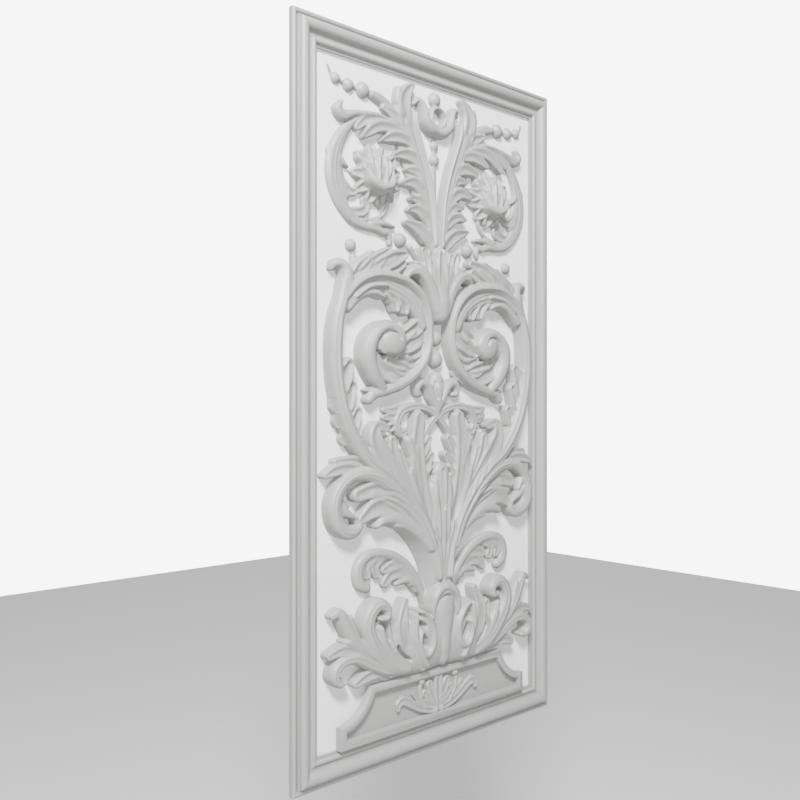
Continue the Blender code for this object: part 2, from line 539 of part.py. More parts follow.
def face_grid(shapes, x_half, z_low, z_high, step, floor_z=None):
    """Grid of a symmetrical relief, worked out on the left half and mirrored."""
    n = int(math.ceil(x_half / step))
    left = np.arange(-n, 1) * step
    zs = np.arange(z_low, z_high + step, step)
    gx, gz = np.meshgrid(left, zs)
    inset, height = relief(shapes, gx, gz)
    if floor_z is not None:
        inset = np.minimum(inset, gz - floor_z)
    xs = np.arange(-n, n + 1) * step
    return xs, zs, np.hstack([inset, inset[:, -2::-1]]), np.hstack([height, height[:, -2::-1]])


def depth(height):
    """Y of a height above the board's front face."""
    return -(BOARD_T + height * FRAME_UNIT)


def painted(name, colour, roughness):
    material = bpy.data.materials.new(name)
    material.use_nodes = True
    shader = material.node_tree.nodes["Principled BSDF"]
    shader.inputs["Base Color"].default_value = colour
    shader.inputs["Roughness"].default_value = roughness
    return material


def place(name, mesh, colour=CARVING_GREY, roughness=0.55, smooth=False):
    """Put a mesh in the scene as one named piece with its own paint."""
    mesh.name = name
    obj = bpy.data.objects.new(name, mesh)
    bpy.context.collection.objects.link(obj)
    mesh.materials.clear()
    mesh.materials.append(painted(name + "_paint", colour, roughness))
    if smooth:
        for polygon in mesh.polygons:
            polygon.use_smooth = True
    return obj


def mesh_of(points, faces):
    bm = bmesh.new()
    verts = [bm.verts.new(p) for p in points]
    for face in faces:
        bm.faces.new([verts[i] for i in face])
    bmesh.ops.recalc_face_normals(bm, faces=bm.faces)
    mesh = bpy.data.meshes.new("piece")
    bm.to_mesh(mesh)
    bm.free()
    return mesh


def changed(mesh, kind, **settings):
    """The mesh after one modifier."""
    obj = bpy.data.objects.new("blank", mesh)
    bpy.context.collection.objects.link(obj)
    modifier = obj.modifiers.new(kind.lower(), kind)
    for key, value in settings.items():
        setattr(modifier, key, value)
    bpy.context.view_layer.update()
    graph = bpy.context.evaluated_depsgraph_get()
    result = bpy.data.meshes.new_from_object(obj.evaluated_get(graph))
    bpy.data.objects.remove(obj)
    return result


def loops_of(sides):
    """Closed loops of point numbers from a set of sides."""
    beside = {}
    for a, b in sides:
        beside.setdefault(a, []).append(b)
        beside.setdefault(b, []).append(a)
    loops = []
    left = set(beside)
    while left:
        loop = [left.pop()]
        while True:
            ahead = [i for i in beside[loop[-1]] if i in left]
            if not ahead:
                break
            loop.append(ahead[0])
            left.discard(ahead[0])
        loops.append(loop)
    return loops


def eased(loop, slack):
    """A closed loop with the points left out that lie within the slack of a straight side."""
    far = max(range(len(loop)), key=lambda i: math.dist(loop[0], loop[i]))
    kept = []
    for first, last in ((0, far), (far, len(loop))):
        spans = [(first, last)]
        part = {first}
        while spans:
            i, j = spans.pop()
            a = loop[i]
            b = loop[j % len(loop)]
            length = math.dist(a, b) or 1.0
            worst, at = 0.0, None
            for k in range(i + 1, j):
                p = loop[k]
                off = abs((b[0] - a[0]) * (a[1] - p[1]) - (a[0] - p[0]) * (b[1] - a[1])) / length
                if off > worst:
                    worst, at = off, k
            if worst > slack:
                part.add(at)
                spans += [(i, at), (at, j)]
        kept += sorted(part)
    return [loop[k] for k in kept]


def carved(shapes, x_half, z_low, z_high, step, keep, slack, back, floor_z=None):
    """Closed solid of a relief: a faceted face, upright walls and a flat back."""
    xs, zs, inset, height = face_grid(shapes, x_half, z_low, z_high, step, floor_z)
    points, faces = facets(xs, zs, inset, height)
    sheet = mesh_of(points, faces)
    bm = bmesh.new()
    bm.from_mesh(sheet)
    bm.verts.ensure_lookup_table()
    rim = [(edge.verts[0].index, edge.verts[1].index) for edge in bm.edges if edge.is_boundary]
    flat = []
    sides = []
    for loop in loops_of(rim):
        loop = eased([points[i][:2] for i in loop], slack)
        n = len(flat)
        sides += [(n + i, n + (i + 1) % len(loop)) for i in range(len(loop))]
        flat += [Vector(p) for p in loop]
    bm.free()
    sheet = changed(changed(sheet, "TRIANGULATE"), "DECIMATE", ratio=keep)
    bm = bmesh.new()
    bm.from_mesh(sheet)
    inner = [Vector(vert.co[:2]) for vert in bm.verts if not vert.is_boundary]
    bm.free()
    clear = sample(xs, zs, inset, inner)
    flat += [p for p, room in zip(inner, clear) if room > 1.2]
    verts, triangles, _ = filled(flat, sides)
    tall = sample(xs, zs, height, verts)
    bm = bmesh.new()
    top = [bm.verts.new((p.x * UNIT_X, depth(h), p.y * UNIT_Z)) for p, h in zip(verts, tall)]
    for face in triangles:
        bm.faces.new([top[i] for i in face])
    bm.verts.index_update()
    rim = [(edge.verts[0].index, edge.verts[1].index) for edge in bm.edges if edge.is_boundary]
    ends = sorted({i for side in rim for i in side})
    at = {i: k for k, i in enumerate(ends)}
    foot = [bm.verts.new((top[i].co.x, back, top[i].co.z)) for i in ends]
    for i, j in rim:
        bm.faces.new((top[i], top[j], foot[at[j]], foot[at[i]]))
    _, triangles, source = filled([verts[i] for i in ends], [(at[i], at[j]) for i, j in rim])
    for face in triangles:
        bm.faces.new([foot[source[i][0]] for i in face])
    for vert in [v for v in bm.verts if not v.link_faces]:
        bm.verts.remove(vert)
    bmesh.ops.triangulate(bm, faces=bm.faces)
    bmesh.ops.recalc_face_normals(bm, faces=bm.faces)
    mesh = bpy.data.meshes.new("carved")
    bm.to_mesh(mesh)
    bm.free()
    return mesh


def filled(flat, sides):
    """Triangles of the area inside the sides, by counting the sides to the right of each middle."""
    verts, edges, triangles, source, *_ = delaunay_2d_cdt(flat, sides, [], 0, 1e-7)
    a = np.array([flat[i] for i, _ in sides])
    b = np.array([flat[j] for _, j in sides])
    kept = []
    for face in triangles:
        x, z = sum((verts[i] for i in face), Vector((0.0, 0.0))) / len(face)
        spans = (a[:, 1] > z) != (b[:, 1] > z)
        t = (z - a[spans, 1]) / (b[spans, 1] - a[spans, 1])
        if np.count_nonzero(a[spans, 0] + t * (b[spans, 0] - a[spans, 0]) > x) % 2:
            kept.append(face)
    return verts, kept, source


def sample(xs, zs, grid, points):
    """Values of a grid at points, blended from the four corners round each."""
    step = xs[1] - xs[0]
    values = []
    for p in points:
        i = min(max((p.x - xs[0]) / step, 0.0), len(xs) - 1.001)
        k = min(max((p.y - zs[0]) / step, 0.0), len(zs) - 1.001)
        a, b = int(i), int(k)
        u, v = i - a, k - b
        low = grid[b, a] * (1 - u) + grid[b, a + 1] * u
        high = grid[b + 1, a] * (1 - u) + grid[b + 1, a + 1] * u
        values.append(low * (1 - v) + high * v)
    return values


def block(x0, x1, y0, y1, z0, z1):
    points = [(x, y, z) for x in (x0, x1) for y in (y0, y1) for z in (z0, z1)]
    faces = [(0, 1, 3, 2), (4, 6, 7, 5), (0, 4, 5, 1), (2, 3, 7, 6), (0, 2, 6, 4), (1, 5, 7, 3)]
    return mesh_of(points, faces)


def prism(outline, low, high):
    """Solid of an outline in units between two heights above the board."""
    n = len(outline)
    points = [(x * UNIT_X, depth(low), z * UNIT_Z) for x, z in outline]
    points += [(x * UNIT_X, depth(high), z * UNIT_Z) for x, z in outline]
    faces = [tuple(range(n)), tuple(range(2 * n - 1, n - 1, -1))]
    faces += [(i, (i + 1) % n, n + (i + 1) % n, n + i) for i in range(n)]
    return mesh_of(points, faces)


def frame_length(turned, sign):
    """One mitred length: along the top or bottom, or up a side when turned."""
    outer = [(0.0, GAP / FRAME_UNIT)] + MOULDING + [(MOULDING[-1][0], GAP / FRAME_UNIT)]
    along_half, across_half = (PANEL_H / 2, PANEL_W / 2) if turned else (PANEL_W / 2, PANEL_H / 2)
    points = []
    for end in (-1, 1):
        for u, h in outer:
            run = end * (along_half - u * FRAME_UNIT - GAP * 0.75)
            off = sign * (across_half - u * FRAME_UNIT)
            points.append((off, depth(h), run) if turned else (run, depth(h), off))
    n = len(outer)
    faces = [tuple(range(n)), tuple(range(2 * n - 1, n - 1, -1))]
    faces += [(i, (i + 1) % n, n + (i + 1) % n, n + i) for i in range(n)]
    return mesh_of(points, faces)


def shoulder(inset, steps=9):
    """Points of the hollow left shoulder, from the side up to the top."""
    radius = 71.0 + inset
    ear = PLINTH_EAR - inset * 0.75
    side = PLINTH_HALF - inset
    neck = PLINTH_TOP - inset
    first = math.asin((ear - SHOULDER_Z) / radius)
    last = math.asin((neck - SHOULDER_Z) / radius)
    points = [(-side, ear)]
    for i in range(steps):
        turn = first + (last - first) * i / (steps - 1)
        points.append((-SHOULDER_X + radius * math.cos(turn), SHOULDER_Z + radius * math.sin(turn)))
    return [p for j, p in enumerate(points) if j == 0 or math.dist(p, points[j - 1]) > 0.5]


def plinth_outline(inset):
    left = [(-(PLINTH_HALF - inset), PLINTH_BOTTOM + inset)] + shoulder(inset)
    return left + [(-x, z) for x, z in reversed(left)]


def dome(x, z, radius, rings=4, around=16):
    """Half ball with a flat back."""
    points = []
    for r in range(rings):
        tilt = 0.5 * math.pi * r / rings
        for a in range(around):
            turn = 2.0 * math.pi * (a + 0.5) / around
            flat = radius * math.cos(tilt)
            points.append(((x + flat * math.cos(turn)) * UNIT_X,
                           depth(GAP / FRAME_UNIT + radius * math.sin(tilt)),
                           (z + flat * math.sin(turn)) * UNIT_Z))
    points.append((x * UNIT_X, depth(GAP / FRAME_UNIT + radius), z * UNIT_Z))
    faces = [tuple(range(around))]
    for r in range(rings - 1):
        for a in range(around):
            b = (a + 1) % around
            faces.append((r * around + a, r * around + b, (r + 1) * around + b, (r + 1) * around + a))
    top = (rings - 1) * around
    faces += [(top + a, top + (a + 1) % around, len(points) - 1) for a in range(around)]
    return mesh_of(points, faces)


def joined(base, other, operation):
    tool = bpy.data.objects.new("tool", other)
    bpy.context.collection.objects.link(tool)
    result = changed(base, "BOOLEAN", operation=operation, solver="EXACT", object=tool)
    bpy.data.objects.remove(tool)
    return result


def main():
    for obj in list(bpy.data.objects):
        bpy.data.objects.remove(obj)
    half_w = PANEL_W / 2 - BOARD_INSET
    half_h = PANEL_H / 2 - BOARD_INSET
    place("ground_board", block(-half_w, half_w, -BOARD_T, 0.0, -half_h, half_h), BOARD_WHITE, 0.6)
    place("frame_top", frame_length(False, 1))
    place("frame_bottom", frame_length(False, -1))
    place("frame_left", frame_length(True, -1))
    place("frame_right", frame_length(True, 1))

    body = prism(plinth_outline(0.0), MOULDING[-1][1] + GAP / FRAME_UNIT, PLINTH_T)
    body = joined(body, prism(plinth_outline(MARGIN), PLINTH_T - SUNK, PLINTH_T + 5.0), "DIFFERENCE")
    bottom = carved(palmette(), 100.0, -545.0, -460.0, 2.0, 0.1, 0.6, depth(PLINTH_T - SUNK - 3.0))
    place("plinth", joined(body, bottom, "UNION"))

    carve_all()
    place("carving", carved(strokes, 262.0, -462.0, 546.0, GRID, KEEP, SLACK, depth(GAP / FRAME_UNIT),
          PLINTH_TOP + 0.4))
    for name, x, z, radius in CENTRE_BEADS:
        place(name, dome(x, z, radius), smooth=True)
    for name, x, z, radius in SIDE_BALLS:
        place(name + "_left", dome(-x, z, radius), smooth=True)
        place(name + "_right", dome(x, z, radius), smooth=True)


main()
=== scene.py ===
import logging
import math
from dataclasses import dataclass, field
from enum import Enum

import bmesh
import bpy
import numpy as np
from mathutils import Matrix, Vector
from mathutils.geometry import delaunay_2d_cdt


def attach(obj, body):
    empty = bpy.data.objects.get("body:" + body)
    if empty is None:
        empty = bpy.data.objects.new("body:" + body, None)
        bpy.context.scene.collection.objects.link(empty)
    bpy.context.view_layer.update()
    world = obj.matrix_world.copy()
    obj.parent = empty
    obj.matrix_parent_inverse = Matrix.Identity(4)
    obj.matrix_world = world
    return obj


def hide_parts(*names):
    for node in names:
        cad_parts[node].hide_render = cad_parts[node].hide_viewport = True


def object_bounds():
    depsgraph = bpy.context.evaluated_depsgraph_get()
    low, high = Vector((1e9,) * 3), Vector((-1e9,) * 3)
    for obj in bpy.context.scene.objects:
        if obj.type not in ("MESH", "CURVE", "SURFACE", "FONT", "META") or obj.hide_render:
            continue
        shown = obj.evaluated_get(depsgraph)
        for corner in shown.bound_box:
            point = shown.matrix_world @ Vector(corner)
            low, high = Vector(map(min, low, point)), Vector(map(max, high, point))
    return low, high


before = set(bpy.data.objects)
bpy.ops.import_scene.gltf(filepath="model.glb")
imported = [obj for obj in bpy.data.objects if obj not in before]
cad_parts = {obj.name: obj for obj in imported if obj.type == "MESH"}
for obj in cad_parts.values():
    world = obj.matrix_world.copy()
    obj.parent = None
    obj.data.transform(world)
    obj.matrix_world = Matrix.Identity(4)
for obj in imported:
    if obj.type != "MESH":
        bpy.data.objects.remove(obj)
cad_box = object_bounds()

LOG = logging.getLogger("panel")

# Outer size of the panel and thickness of its board, in metres
PANEL_H = 1.200
PANEL_W = 0.618
BOARD_T = 0.006
# Gap between pieces that lie against each other, and how far the carving stays behind its solid's front
GAP = 0.0003
CLEAR = 0.0001
# The carving is drawn in millimetres from the panel's centre, with heights above the board
MM = 0.001
# Least thickness of the carving above its flat back
LEAST = 0.9
# Hollow of a scooped leaf: its depth as a share of the crest and its reach as a share of the half-width
SCOOP_DEPTH = 0.72
SCOOP_REACH = 0.75
# The same for the channel along a fluted stem
FLUTE_DEPTH = 0.45
FLUTE_REACH = 0.25


class Form(Enum):
    """Shape of a lobe across its width."""

    ROUND = "round"
    SCOOP = "scoop"
    KEEL = "keel"
    FLUTE = "flute"
    CUT = "cut"
    GROOVE = "groove"


@dataclass
class Lobe:
    """One carved lobe along a smooth line.

    Args:
        points: Control points of the line, in units from the panel's centre.
        widths: Half-widths along the line.
        crest: Height of the crest along the line.
        edge: Height at the edge, or heights left and right of the line's direction.
        form: Shape across the width.
    """

    points: list
    widths: list
    crest: object
    edge: object = 0.0
    form: Form = Form.ROUND

    def line(self, steps: int = 10) -> np.ndarray:
        """Smooth line through the control points.

        Args:
            steps: Points of the line from one control point to the next.

        Returns:
            The line's points, one in each row.
        """
        p = np.asarray(self.points, float)
        if len(p) == 1:
            return p
        ext = np.vstack([2 * p[0] - p[1], p, 2 * p[-1] - p[-2]])
        t = np.linspace(0.0, 1.0, steps, endpoint=False)[:, None]
        rows = []
        for i in range(len(p) - 1):
            a, b, c, d = ext[i:i + 4]
            rows.append(b + 0.5 * ((c - a) * t + (2 * a - 5 * b + 4 * c - d) * t ** 2
                                   + (3 * b - a - 3 * c + d) * t ** 3))
        rows.append(p[-1:])
        return np.vstack(rows)

    def section(self, s: np.ndarray) -> np.ndarray:
        """Height share across the lobe.

        Args:
            s: Places across the lobe, from its middle at 0 to its edge at 1.

        Returns:
            Share of the crest's height above the edge at each place.
        """
        r = np.sqrt(np.clip(1.0 - s * s, 0.0, 1.0))
        if self.form is Form.SCOOP:
            return r * (1.0 - SCOOP_DEPTH * np.clip(1.0 - (s / SCOOP_REACH) ** 2, 0.0, 1.0))
        if self.form is Form.KEEL:
            return 1.0 - s
        if self.form is Form.FLUTE:
            return r - FLUTE_DEPTH * np.exp(-(s / FLUTE_REACH) ** 2)
        return r

    def reach(self, x: np.ndarray, z: np.ndarray) -> tuple:
        """Cover of the lobe over the points near it.

        Args:
            x: The points' x values.
            z: The points' z values.

        Returns:
            Which points are near, their inset, cross share, height and crest.
        """
        line = self.line()
        share = np.linspace(0.0, 1.0, len(line))
        half_width = spread(self.widths, share)
        crest = spread(self.crest, share)
        left, right = self.edge if isinstance(self.edge, tuple) else (self.edge, self.edge)
        room = half_width.max() + 8.0
        lo = line.min(axis=0) - room
        hi = line.max(axis=0) + room
        near = np.nonzero((x > lo[0]) & (x < hi[0]) & (z > lo[1]) & (z < hi[1]))
        px = x[near]
        pz = z[near]
        best = np.hypot(px - line[0, 0], pz - line[0, 1])
        wide = np.full(px.shape, half_width[0])
        high = np.full(px.shape, crest[0])
        side = np.ones(px.shape)
        for i in range(len(line) - 1):
            dx, dz = line[i + 1] - line[i]
            along = ((px - line[i, 0]) * dx + (pz - line[i, 1]) * dz) / (dx * dx + dz * dz)
            u = np.clip(along, 0.0, 1.0)
            ex = px - line[i, 0] - u * dx
            ez = pz - line[i, 1] - u * dz
            d = np.hypot(ex, ez)
            k = d < best
            best[k] = d[k]
            wide[k] = (half_width[i] + u * (half_width[i + 1] - half_width[i]))[k]
            high[k] = (crest[i] + u * (crest[i + 1] - crest[i]))[k]
            side[k] = np.sign(dx * ez - dz * ex)[k]
        s = np.clip(best / wide, 0.0, 1.0)
        low = 0.5 * (left + right) + 0.5 * (left - right) * side * s
        return near, wide - best, s, low + (high - low) * self.section(s), high


def spread(values: object, share: np.ndarray) -> np.ndarray:
    """Values spread evenly along a line, read at the given shares of its length."""
    v = np.atleast_1d(np.asarray(values, float))
    return np.interp(share, np.linspace(0.0, 1.0, len(v)), v)


@dataclass
class Part:
    """A named stretch of the carving, drawn as lobes on its left half.

    Args:
        fullness: How much wider than drawn the scooped leaves are.
        blunt: Width added to their tips.
        lobes: The lobes drawn so far.
    """

    fullness: float = 1.2
    blunt: float = 2.0
    lobes: list = field(default_factory=list)

    def band(self, points: list, widths: list, crest: object, edge: object = 0.0,
             form: str = "round") -> None:
        """Add a lobe along a smooth line.

        Args:
            points: Control points of the line.
            widths: Half-widths along it.
            crest: Height of the crest, one value or several along the line.
            edge: Height at the edge, or heights left and right.
            form: Shape across the width. A scoop is widened, blunted and rises from its root.
        """
        if form == "scoop":
            widths = [width * self.fullness for width in widths]
            widths[-1] += self.blunt
            if not isinstance(crest, list):
                root = max(edge) if isinstance(edge, tuple) else edge
                crest = [root + 1.0, crest, crest, 0.92 * crest]
        self.lobes.append(Lobe(points, widths, crest, edge, Form(form)))

    def vein(self, offsets: list, share: float, depth: float) -> None:
        """Sink flutes along the last lobe.

        Args:
            offsets: Places across the lobe, from -1 at its right edge to 1 at its left.
            share: Half-width of a flute, as a share of the lobe's.
            depth: Depth of a flute, in millimetres.
        """
        lobe = self.lobes[-1]
        line = lobe.line(6)
        wide = spread(lobe.widths, np.linspace(0.0, 1.0, len(line)))
        ahead = np.gradient(line, axis=0)
        ahead /= np.maximum(np.hypot(ahead[:, 0], ahead[:, 1]), 1e-6)[:, None]
        aside = np.column_stack([-ahead[:, 1], ahead[:, 0]])
        for offset in offsets:
            beside = line + aside * (offset * wide)[:, None]
            self.lobes.append(Lobe([tuple(p) for p in beside[::3]],
                              [float(w) * share + 0.35 for w in wide[::3]],
                                   [0.0, depth, depth, depth, 0.0], 0.0, Form.GROOVE))

    def ball(self, x: float, z: float, radius: float, crest: float | None = None,
             edge: float = 0.5) -> None:
        """Add a round boss.

        Args:
            x: Its middle across the panel.
            z: Its middle up the panel.
            radius: Its radius.
            crest: Its height above the board, or none for a half ball.
            edge: Height of its rim.
        """
        self.lobes.append(Lobe([(x, z)], [radius], radius if crest is None else crest, edge))

    def cut(self, points: list, widths: list, floor: float) -> None:
        """Sink a hollow down to one height.

        Args:
            points: Control points of the hollow's line.
            widths: Half-widths along it.
            floor: Height of its floor above the board.
        """
        self.lobes.append(Lobe(points, widths, floor, 0.0, Form.CUT))

    def draw(self) -> None:
        """Draw the lobes of this part."""


@dataclass
class BeadString(Part):
    """The string of beads and the bud at the top."""

    def draw(self) -> None:
        """Draw the lobes."""
        self.band([(-236, 531), (-233, 524), (-229, 517)], [1.5, 2, 2.5], 3, 1.5)
        self.band([(-229, 517), (-220, 513), (-195, 508), (-165, 506), (-147, 503)], [2.5, 3, 3, 3, 3],
                  5, 2)
        self.ball(-220.8, 513, 9.3, 9)
        self.ball(-194.8, 508, 11.2, 11)
        self.ball(-165.3, 506.5, 13.7, 13)
        self.band([(-147.5, 503), (-133, 501), (-115, 495), (-97, 486), (-83, 475), (-68, 455)],
                  [7, 10.5, 9.5, 7, 5, 4], 11, 1.5)
        self.vein([0.15], 0.18, 1.0)


@dataclass
class Plume(Part):
    """The tall plume: its roll, its leaves and the horn above the ring."""

    def draw(self) -> None:
        """Draw the lobes."""
        self.band([(-12, 262), (-17, 300), (-27, 350), (-42, 400), (-60, 440), (-74, 470)],
                  [6, 8, 10, 12, 13, 10], 15, 8)
        self.vein([-0.6, -0.2, 0.25], 0.16, 2.2)
        self.band([(-68, 455), (-79, 485), (-80, 512), (-70, 529), (-60, 537)], [12, 14, 12, 8, 2], 20,
                  11, "scoop")
        self.band([(-86, 486), (-93, 508), (-93, 526)], [9, 7, 3], 16, 11)
        self.band([(-74, 466), (-100, 477), (-124, 487)], [8, 9, 2], 17, 8, "scoop")
        self.band([(-100, 464), (-138, 464), (-164, 457), (-181, 442)], [4, 7, 8, 3], 16, 8, "scoop")
        self.band([(-75, 447), (-105, 455), (-135, 452), (-155, 441), (-168, 429)], [5, 8, 9, 8, 2], 18,
                  (8, 14), "scoop")
        self.band([(-60, 436), (-85, 442), (-107, 440), (-127, 431)], [6, 9, 9, 2], 19, (8, 14),
                  "scoop")
        self.band([(-42, 404), (-62, 415), (-82, 416), (-100, 411)], [7, 10, 9, 2], 19, (7, 14),
                  "scoop")
        self.band([(-36, 382), (-54, 393), (-72, 393)], [6, 7, 2], 16, (7, 14), "scoop")
        self.band([(-28, 350), (-45, 366), (-62, 372), (-82, 367)], [7, 10, 9, 2], 19, (7, 14), "scoop")
        self.band([(-24, 332), (-44, 345), (-62, 345)], [6, 7, 2], 16, (7, 14), "scoop")
        self.band([(-18, 304), (-36, 321), (-52, 328), (-67, 325)], [7, 9, 8, 2], 18, (7, 14), "scoop")
        self.band([(-14, 262), (-28, 282), (-48, 296), (-74, 303)], [7, 11, 10, 2], 19, (7, 14),
                  "scoop")
        self.band([(-56, 490), (-53, 467), (-39, 430), (-27, 400), (-15, 355), (-9, 300), (-8.5, 272)],
                  [6, 6, 6, 6, 5.5, 5.5, 5.5], 20, (2, 9))
        self.vein([-0.45], 0.2, 1.2)
        self.band([(-213, 477), (-221, 464), (-209, 456), (-186, 463), (-160, 468), (-130, 470),
                   (-100, 463), (-75, 448)], [3, 8, 10, 6, 5, 4.5, 4, 4], 15, 6)
        self.vein([-0.3, 0.3], 0.16, 1.2)


@dataclass
class Ring(Part):
    """The upper ring with its spur, hook and leaflets."""

    def draw(self) -> None:
        """Draw the lobes."""
        self.band([(-176, 460), (-198, 440), (-213, 420), (-222, 400), (-227, 378), (-227, 355),
                   (-221, 335), (-211, 318), (-196, 301), (-180, 291), (-160, 286), (-138, 285),
                   (-120, 279)], [3, 8, 11, 13, 14, 13.5, 13, 12, 10, 9, 7, 7, 6], 11, 3)
        self.vein([-0.15, 0.35], 0.2, 1.8)
        self.band([(-228, 395), (-220, 365), (-212, 345), (-202, 330)], [12, 14, 12, 8], 9, 3)
        self.band([(-222, 394), (-209, 382), (-198, 375)], [8, 6, 2], 10, 3)
        self.band([(-226, 375), (-214, 352), (-201, 340), (-187, 337), (-176, 346)], [9, 10, 9, 6, 2],
                  13, 3, "scoop")
        self.band([(-207, 306), (-185, 306), (-168, 309), (-160, 317), (-163, 328)], [5, 7, 8, 8, 4],
                  12, 3, "scoop")
        self.band([(-150, 290), (-125, 295), (-99, 292.5)], [6, 6, 3], 11, 4)
        self.band([(-125, 283), (-111, 280), (-106, 272), (-108, 263)], [5, 7, 6, 4], 9, 3)
        self.band([(-112, 345), (-112, 325), (-121, 311), (-135, 302), (-155, 297), (-175, 294)], [3.5],
                  8, 2)


@dataclass
class Rosette(Part):
    """The many-petalled flower in the ring."""

    def petal(self, root: tuple, end: tuple, shares: tuple, widths: list, crest: list,
              edge: float) -> None:
        """Add a scooped petal.

        Args:
            root: Where it grows from.
            end: Its tip.
            shares: The two places along it, as shares of its length, between root and tip.
            widths: Half-widths at the root, the two places and the tip.
            crest: Heights of the crest at the same four.
            edge: Height at its edge.
        """
        inner, outer = [tuple(r + share * (e - r) for r, e in zip(root, end)) for share in shares]
        self.band([root, inner, outer, end], widths, crest, edge, "scoop")

    def draw(self) -> None:
        """Draw the lobes."""
        middle = (-140, 366)
        for x, z, wide in ((-191, 370, 10), (-182, 341, 10), (-157, 324, 11), (-129, 321, 11),
                           (-103, 335, 11), (-86, 358, 10), (-87, 385, 9)):
            self.petal(middle, (x, z), (0.58, 0.88), [8, wide, wide - 3, 1], [26, 23, 17, 10], 4)
        for x, z, wide in ((-181, 402, 10), (-156, 417, 10), (-125, 418, 10), (-100, 405, 10)):
            self.petal(middle, (x, z), (0.58, 0.9), [8, wide, wide - 2, 1], [29, 28, 22, 15], 8)
        for x, z, wide, crest in ((-174, 386, 10, 32), (-112, 386, 10, 32), (-160, 399, 10, 35),
                                  (-124, 399, 10, 35), (-142, 402, 11, 38)):
            self.petal((-142, 352), (x, z), (0.6, 0.9), [9, wide, wide - 3, 1],
                       [crest, crest, crest - 4, crest - 10], crest - 16)
        self.band([(-170, 371), (-162, 356), (-142, 348), (-122, 355), (-113, 371)], [4, 8, 11, 8, 4],
                  [28, 34, 38, 34, 28], 16)


@dataclass
class Tulip(Part):
    """The tulip finial, its ball, beads and stem."""

    def draw(self) -> None:
        """Draw the lobes."""
        self.ball(0, 527.5, 13.5, 13)
        self.band([(0, 470), (-16, 472), (-28, 483), (-33, 498), (-38, 511), (-47, 516), (-53, 509)],
                  [9, 11, 11, 9, 8, 7, 4], [17, 20, 21, 20, 18, 15, 11], 3)
        self.band([(0, 476), (-12, 482), (-17, 495), (-11, 507), (0, 511)], [5, 5, 4.5, 4.5, 4.5], 17,
                  5)
        self.ball(0, 447, 9.5, 9)
        self.ball(0, 422, 11, 11)
        self.band([(0, 470), (0, 262)], [4.8], 5.5, 1.5, "flute")


@dataclass
class Fingers(Part):
    """The short fingers beside the calyx and over the outer stem."""

    def draw(self) -> None:
        """Draw the lobes."""
        self.band([(-184.5, 232.5), (-184, 222), (-186, 208)], [7, 7, 3], 8, 2)
        self.band([(-60.5, 263), (-50, 252), (-40, 240)], [6, 5, 4], 9, 2)


@dataclass
class OuterStem(Part):
    """The big outer stem with its hook."""

    def draw(self) -> None:
        """Draw the lobes."""
        self.band([(-233, 211), (-229, 217), (-220, 219), (-210, 213), (-206, 195), (-212, 168)],
                  [5, 8, 9, 11, 13, 12], [14, 18, 20, 22, 25, 26], 8)
        self.band([(-211, 195), (-216, 165), (-226, 135), (-231, 100), (-231, 60), (-226, 20),
                   (-214, -20), (-196, -55), (-175, -82), (-155, -100), (-125, -118), (-95, -142),
                   (-65, -172), (-40, -208), (-22, -250), (-12, -300)],
                  [9, 11, 12, 13, 13, 13, 14, 14, 14, 13, 13, 13, 12, 11, 10, 10],
                  [24, 26, 28, 29, 29, 29, 29, 29, 29, 29, 30, 31, 32, 33, 34, 36], (8, 17))
        self.vein([-0.3, 0.35], 0.17, 2.4)


@dataclass
class UpperLeaf(Part):
    """The leaf over the scroll, the scroll band and its hanging lobes."""

    def draw(self) -> None:
        """Draw the lobes."""
        self.band([(-205, 160), (-180, 183), (-150, 194), (-115, 192), (-80, 178), (-55, 155),
                   (-42, 130)], [11, 14, 16, 16, 15, 13, 9], 23, 15)
        self.vein([-0.5, 0.0, 0.5], 0.13, 2.0)
        self.band([(-200, 186), (-180, 212), (-152, 240)], [9, 14, 4], 25, 12, "scoop")
        self.band([(-192, 192), (-155, 222), (-120, 250)], [9, 15, 3], 26, 12, "scoop")
        self.band([(-182, 196), (-138, 222), (-106, 238), (-82, 247)], [8, 13, 13, 5], 27, 12, "scoop")
        self.band([(-165, 202), (-125, 217), (-100, 224), (-84, 231)], [8, 10, 9, 4], 24, 12, "scoop")
        self.band([(-215, 165), (-190, 190), (-150, 206), (-95, 204), (-65, 192), (-43, 173),
                   (-31, 148), (-28, 120), (-30, 95), (-40, 71), (-60, 49), (-90, 31), (-125, 19),
                   (-155, 12)], [9, 10, 10, 9, 9, 9, 9, 9, 9, 10, 10, 10, 9, 7],
                  [27, 29, 31, 31, 31, 31, 29, 27, 27, 27, 27, 25, 23, 20], (15, 6))
        self.vein([-0.35, 0.2], 0.17, 2.2)
        self.band([(-135, 20), (-152, 11), (-160, 4)], [8, 9, 8], 20, 12)
        self.band([(-150, 20), (-167, 19)], [6, 2], 15, 11)
        self.band([(-207, 150), (-195, 162), (-175, 174), (-152, 178), (-132, 172)], [9, 9, 8, 7, 4],
                  24, 14)
        self.band([(-195, 168), (-165, 186), (-128, 191)], [5, 6, 4], 28, 16)
        self.band([(-150, 192), (-122, 185), (-107, 171), (-103, 156)], [7, 11, 11, 6], 28, 11, "scoop")
        self.band([(-126, 197), (-101, 185), (-87, 169), (-82, 153)], [7, 11, 11, 6], 28, 11, "scoop")
        self.band([(-98, 198), (-70, 183), (-57, 167), (-53, 152)], [7, 10, 9, 5], 28, 12, "scoop")


